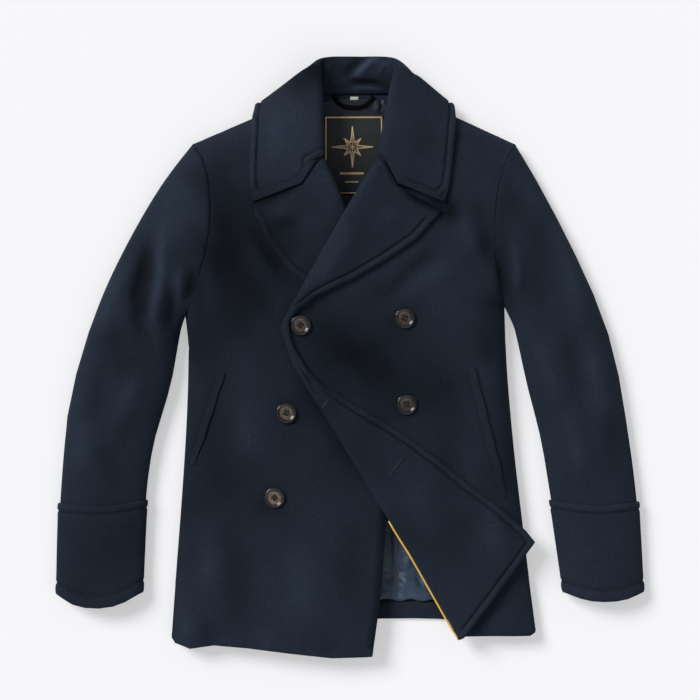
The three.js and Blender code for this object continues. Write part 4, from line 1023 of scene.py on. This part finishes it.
def makeSatin(name, colour, shade, roughness, gloss=0.55):
    # satin lining, woven smooth: a soft gloss that breaks up on small wrinkles
    material, tree = startMaterial(name)
    place = addNode(tree, "ShaderNodeTexCoord", (-1100, 0)).outputs["Object"]
    wrinkle = addNode(tree, "ShaderNodeTexNoise", (-850, -150), {}, {
        "Vector": place, "Scale": 1000 / satinLook["wrinkle"], "Detail": 3.0, "Distortion": 1.2})
    cloud = addNode(tree, "ShaderNodeTexNoise", (-850, 150), {}, {"Vector": place, "Scale": 25.0, "Detail": 2.0})
    tone = addNode(tree, "ShaderNodeMix", (-520, 150), {"data_type": "RGBA"}, {
        "Factor": cloud.outputs["Fac"], 6: toLinear(shade), 7: toLinear(colour)})
    bump = addNode(tree, "ShaderNodeBump", (-520, -150), {}, {
        "Height": wrinkle.outputs["Fac"], "Strength": 0.6, "Distance": 0.0016})
    shader = addNode(tree, "ShaderNodeBsdfPrincipled", (-120, 100), {}, {
        "Base Color": tone.outputs[2], "Roughness": roughness, "Normal": bump.outputs["Normal"],
        "Specular IOR Level": gloss, "Sheen Weight": 0.1 * gloss, "Sheen Tint": toLinear("#9FB0C4")})
    addNode(tree, "ShaderNodeOutputMaterial", (180, 100), {}, {"Surface": shader.outputs["BSDF"]})
    return material


def makeThread(name, colour, roughness, metal=0.0):
    # spun sewing thread: fine fibres, so it only glints softly
    material, tree = startMaterial(name)
    place = addNode(tree, "ShaderNodeTexCoord", (-900, 0)).outputs["Object"]
    fibre = addNode(tree, "ShaderNodeTexNoise", (-650, 0), {}, {"Vector": place, "Scale": 1500.0, "Detail": 1.0})
    bump = addNode(tree, "ShaderNodeBump", (-380, -100), {}, {
        "Height": fibre.outputs["Fac"], "Strength": 0.4, "Distance": 0.0002})
    shader = addNode(tree, "ShaderNodeBsdfPrincipled", (-120, 100), {}, {
        "Base Color": toLinear(colour), "Roughness": roughness, "Metallic": metal,
        "Normal": bump.outputs["Normal"], "Specular IOR Level": 0.3})
    addNode(tree, "ShaderNodeOutputMaterial", (180, 100), {}, {"Surface": shader.outputs["BSDF"]})
    return material


def makeHorn():
    # polished horn: a near-black rim, a greyer streaked dish and a dark centre under clear gloss
    material, tree = startMaterial("polished_horn_brown")
    place = addNode(tree, "ShaderNodeTexCoord", (-1400, 0)).outputs["Object"]
    streak = addNode(tree, "ShaderNodeTexNoise", (-1150, 0), {}, {
        "Vector": place, "Scale": 170.0, "Detail": 4.0, "Roughness": 0.6, "Distortion": 3.0})
    streaks = addNode(tree, "ShaderNodeValToRGB", (-900, 0), {}, {"Fac": streak.outputs["Fac"]})
    streaks.color_ramp.elements[0].position = 0.38
    streaks.color_ramp.elements[0].color = toLinear("#2B2019")
    streaks.color_ramp.elements[1].position = 0.62
    streaks.color_ramp.elements[1].color = toLinear("#5E5248")
    reach = addNode(tree, "ShaderNodeAttribute", (-1400, -300), {"attribute_name": "buttonReach"})
    share = addNode(tree, "ShaderNodeMath", (-1150, -300), {"operation": "DIVIDE"}, {
        0: reach.outputs["Fac"], 1: float(button["radius"])})
    rings = addNode(tree, "ShaderNodeValToRGB", (-900, -300), {}, {"Fac": share.outputs[0]})
    rings.color_ramp.elements[0].position = 0.26
    rings.color_ramp.elements[0].color = toLinear("#282828")
    rings.color_ramp.elements[1].position = 0.86
    rings.color_ramp.elements[1].color = toLinear("#151515")
    for where, shade in ((0.36, "#FFFFFF"), (0.62, "#E8E8E8"), (0.7, "#101010")):
        rings.color_ramp.elements.new(where).color = toLinear(shade)
    ringed = addNode(tree, "ShaderNodeMix", (-600, -100), {"data_type": "RGBA"}, {
        "Factor": rings.outputs["Color"], 6: toLinear("#120E0C"), 7: streaks.outputs["Color"]})
    tone = addNode(tree, "ShaderNodeAttribute", (-600, -350), {"attribute_name": "buttonTone"})
    toned = addNode(tree, "ShaderNodeVectorMath", (-380, -100), {"operation": "SCALE"}, {
        0: ringed.outputs[2], "Scale": tone.outputs["Fac"]})
    shader = addNode(tree, "ShaderNodeBsdfPrincipled", (-120, 0), {}, {
        "Base Color": toned.outputs["Vector"], "Roughness": 0.2, "IOR": 1.5,
        "Coat Weight": 0.3, "Coat Roughness": 0.06})
    addNode(tree, "ShaderNodeOutputMaterial", (180, 0), {}, {"Surface": shader.outputs["BSDF"]})
    return material


def makeWovenLabel(name, colour, roughness):
    # damask label cloth: a tight weave, drawn at 1.2 mm so that it shows
    material, tree = startMaterial(name)
    place = addNode(tree, "ShaderNodeTexCoord", (-1100, 0)).outputs["Object"]
    weave = addNode(tree, "ShaderNodeTexWave", (-850, 0), {"bands_direction": "DIAGONAL"}, {
        "Vector": place, "Scale": 260.0, "Distortion": 0.4})
    bump = addNode(tree, "ShaderNodeBump", (-500, -100), {}, {
        "Height": weave.outputs["Fac"], "Strength": 0.3, "Distance": 0.0003})
    shader = addNode(tree, "ShaderNodeBsdfPrincipled", (-120, 100), {}, {
        "Base Color": toLinear(colour), "Roughness": roughness, "Normal": bump.outputs["Normal"],
        "Specular IOR Level": 0.3})
    addNode(tree, "ShaderNodeOutputMaterial", (180, 100), {}, {"Surface": shader.outputs["BSDF"]})
    return material


wool = makeWool()
satin = makeSatin("satin_lining_slate", satinLook["colour"], satinLook["shade"], satinLook["roughness"], 0.4)
darkSatin = makeSatin("satin_facing_navy", "#111624", "#080A12", 0.42, 0.3)
blackSatin = makeSatin("satin_tape_black", "#030405", "#020203", 0.7, 0.05)
goldSatin = makeSatin("satin_cord_gold", "#E8BC50", "#CF9E38", 0.38)
navyThread = makeThread("polyester_thread_navy", "#12161E", 0.7)
holeThread = makeThread("polyester_thread_blue_grey", "#2C3440", 0.6)
brownThread = makeThread("polyester_thread_brown", "#1C120B", 0.6)
slateThread = makeThread("polyester_thread_slate", "#3A4653", 0.55)
goldThread = makeThread("rayon_thread_gold", "#D8BC94", 0.4, 0.25)
horn = makeHorn()
labelCloth = makeWovenLabel("damask_label_charcoal", "#1C2021", 0.6)
tagCloth = makeWovenLabel("cotton_tape_white", "#A8A6A2", 0.8)

# Painted shade and light: soft patches that darken the colour where the cloth lies in shade, or lighten it where it
# catches light:
# place and radii in mm, share of light lost.
paintedShadePatches = [
    ((-160, 130), (60, 110), 0.76), ((-170, 232), (40, 36), 0.3), ((-205, 20), (36, 80), 0.45),
    ((5, 8), (78, 62), 0.78), ((47, -25), (60, 50), 0.25), ((117, -62), (52, 42), 0.48),
    ((-23, -102), (55, 90), 0.32), ((131, 203), (34, 28), 0.6), ((208, 114), (20, 84), 0.5),
    ((-96, 172), (36, 36), 0.58), ((-190, -160), (60, 110), 0.46), ((215, -186), (24, 70), 0.35),
    ((-350, -275), (70, 75), 0.33), ((-316, 0), (30, 55), 0.2), ((-290, 92), (11, 58), 0.36),
    ((-107, -198), (27, 27), 0.4), ((-44, 394), (38, 32), 0.75), ((-218, 96), (14, 40), 0.35),
    ((-85, 305), (58, 62), -0.3), ((95, 300), (40, 80), -0.12), ((-253, 219), (38, 60), -0.3),
    ((-395, -60), (30, 120), -0.12), ((300, 150), (50, 120), -0.12), ((-300, -200), (60, 60), 0.1),
    ((260, 230), (30, 50), -0.3), ((110, -230), (70, 60), 0.12), ((-330, 100), (40, 70), -0.1),
]

# Painted shade and light along lines, such as the dark gap under the collar's ends and the lit roll of a lapel: the
# pieces, places along it in mm, half width in mm, gain or loss of light.
paintedShadeStreaks = {
    "facing_left": [
        ([(10, 204), (-30, 124), (-68, 58)], 11, 0.5),
        ([(64, 238), (100, 218), (142, 196)], 6, -2.4),
        ([(66, 120), (30, 92), (-40, 66)], 16, -0.3),
    ],
    "front_left": [
        ([(100, 224), (140, 203), (158, 194)], 8, -1.2),
        ([(90, 70), (120, 84), (156, 100)], 26, 0.2),
        ([(-10, 70), (60, 100), (112, 150), (132, 186)], 9, -0.7),
        ([(156, 8), (190, -20), (212, -60)], 16, 0.2),
        ([(-60, -40), (20, -110), (100, -170), (200, -240)], 12, -0.5),
    ],
    "facing_right": [([(-146, 206), (-100, 226), (-60, 242)], 5, -1.3)],
    "front_right": [
        ([(-148, 200), (-122, 148), (-74, 92)], 7, -0.9),
        ([(-74, 30), (-50, -50), (-10, -120), (30, -190)], 12, -0.6),
        ([(-140, -60), (-150, -20), (-140, 30)], 26, 0.2),
    ],
    "collar_upper": [
        ([(46, 424), (20, 404), (0, 388)], 6, 1.2),
        ([(-10, 377), (26, 376), (60, 372)], 3.5, 0.7),
        ([(-8, 387), (26, 386), (56, 383)], 3.5, -2.0),
        ([(56, 424), (50, 402), (40, 388)], 4, 0.4),
    ],
}


def paintedShading(piece, nodeName):
    places = meshPoints(piece) * 1000
    x, y = places[:, 0], places[:, 1]
    # painted shade and light: folds, seams, grooves, lines and patches, multiplied into one factor for the colour
    tone = np.exp(0.085 * layerValues(piece, "foldPaintedShade")) * (1 + layerValues(piece, "paintedLineShade"))
    tone *= np.exp(foldHeight(paintedShadeStreaks.get(nodeName, []), x, y))
    # the shades are uneven at their borders
    wx = x + 10 * np.sin(y / 19 + np.sin(x / 37)) + 5 * np.sin(x / 9 + y / 13)
    wy = y + 12 * np.sin(x / 23 + np.sin(y / 31)) + 5 * np.sin(y / 11 - x / 15)
    for (cx, cy), (rx, ry), lost in paintedShadePatches:
        tone *= 1 - lost * np.exp(-((wx - cx) / rx) ** 2 - ((wy - cy) / ry) ** 2)
    storeLayer(piece, "paintedShading", np.clip(tone, 0.1, 2.2))


def finishPiece(piece, material, nodeName=None, smoothAngle=50):
    onlyActive(piece)
    bpy.ops.object.shade_smooth_by_angle(angle=math.radians(smoothAngle))
    piece.data.materials.clear()
    piece.data.materials.append(material)
    if nodeName:
        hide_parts(nodeName)
    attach(piece, "root")
    piece.select_set(False)


bpy.ops.mesh.primitive_plane_add(size=6, location=(0, 0, -0.0006))
floor = bpy.context.object
floor.name = "floor"

for nodeName, (levels, lowest, band, joins, (width, length, area)) in woolPieces.items():
    paintedShading(made[nodeName], nodeName)
    finishPiece(made[nodeName], wool, nodeName)
finishPiece(lining, satin, "lining_back")
lining.data.materials.append(darkSatin)
for face in lining.data.polygons:
    face.material_index = 1 if face.center.y > 0.214 else 0
finishPiece(loop, blackSatin, "hanger_loop")
finishPiece(label, labelCloth, "neck_label")
finishPiece(tag, tagCloth, "size_tag")
finishPiece(cordEdge, goldSatin, "piping")
for nodeName, piece in buttons.items():
    finishPiece(piece, horn, nodeName, 35)
finishPiece(navySewing, navyThread)
finishPiece(holeSewing, holeThread)
finishPiece(slateSewing, slateThread)
finishPiece(goldSewing, goldThread)
finishPiece(buttonSewing, brownThread)
print("coat: pieces finished")


# Floor, light and camera
paper = bpy.data.materials.new("matt_white_paper")
paper.use_nodes = True
paper.node_tree.nodes["Principled BSDF"].inputs["Base Color"].default_value = toLinear("#B4B4B6")
# a sweep that is lit from below too, so that its shadows stay faint
paper.node_tree.nodes["Principled BSDF"].inputs["Emission Color"].default_value = (1.0, 1.0, 1.0, 1.0)
paper.node_tree.nodes["Principled BSDF"].inputs["Emission Strength"].default_value = 0.4
paper.node_tree.nodes["Principled BSDF"].inputs["Roughness"].default_value = 0.95
floor.data.materials.append(paper)

scene = bpy.context.scene
scene.view_settings.view_transform = "Standard"
world = bpy.data.worlds.new("studio")
world.use_nodes = True
world.node_tree.nodes["Background"].inputs["Color"].default_value = toLinear("#F4F6FA")
world.node_tree.nodes["Background"].inputs["Strength"].default_value = 0.4
scene.world = world


def addSun(name, strength, angle, fromWhere):
    data = bpy.data.lights.new(name, "SUN")
    data.energy = strength
    data.angle = math.radians(angle)
    light = bpy.data.objects.new(name, data)
    light.rotation_mode = "QUATERNION"
    light.rotation_quaternion = Vector(fromWhere).to_track_quat("Z", "Y")
    light.location = Vector(fromWhere)
    bpy.context.collection.objects.link(light)


addSun("key", 3.3, 26, (-1.25, 1.0, 1.3))
addSun("fill", 0.5, 60, (0.6, -1.2, 1.4))

cameraData = bpy.data.cameras.new("camera")
cameraData.sensor_width = 36
cameraData.lens = 36 * 3.5 / 0.98
camera = bpy.data.objects.new("camera", cameraData)
camera.location = (0.0, 0.0096, 3.525)
bpy.context.collection.objects.link(camera)
scene.camera = camera
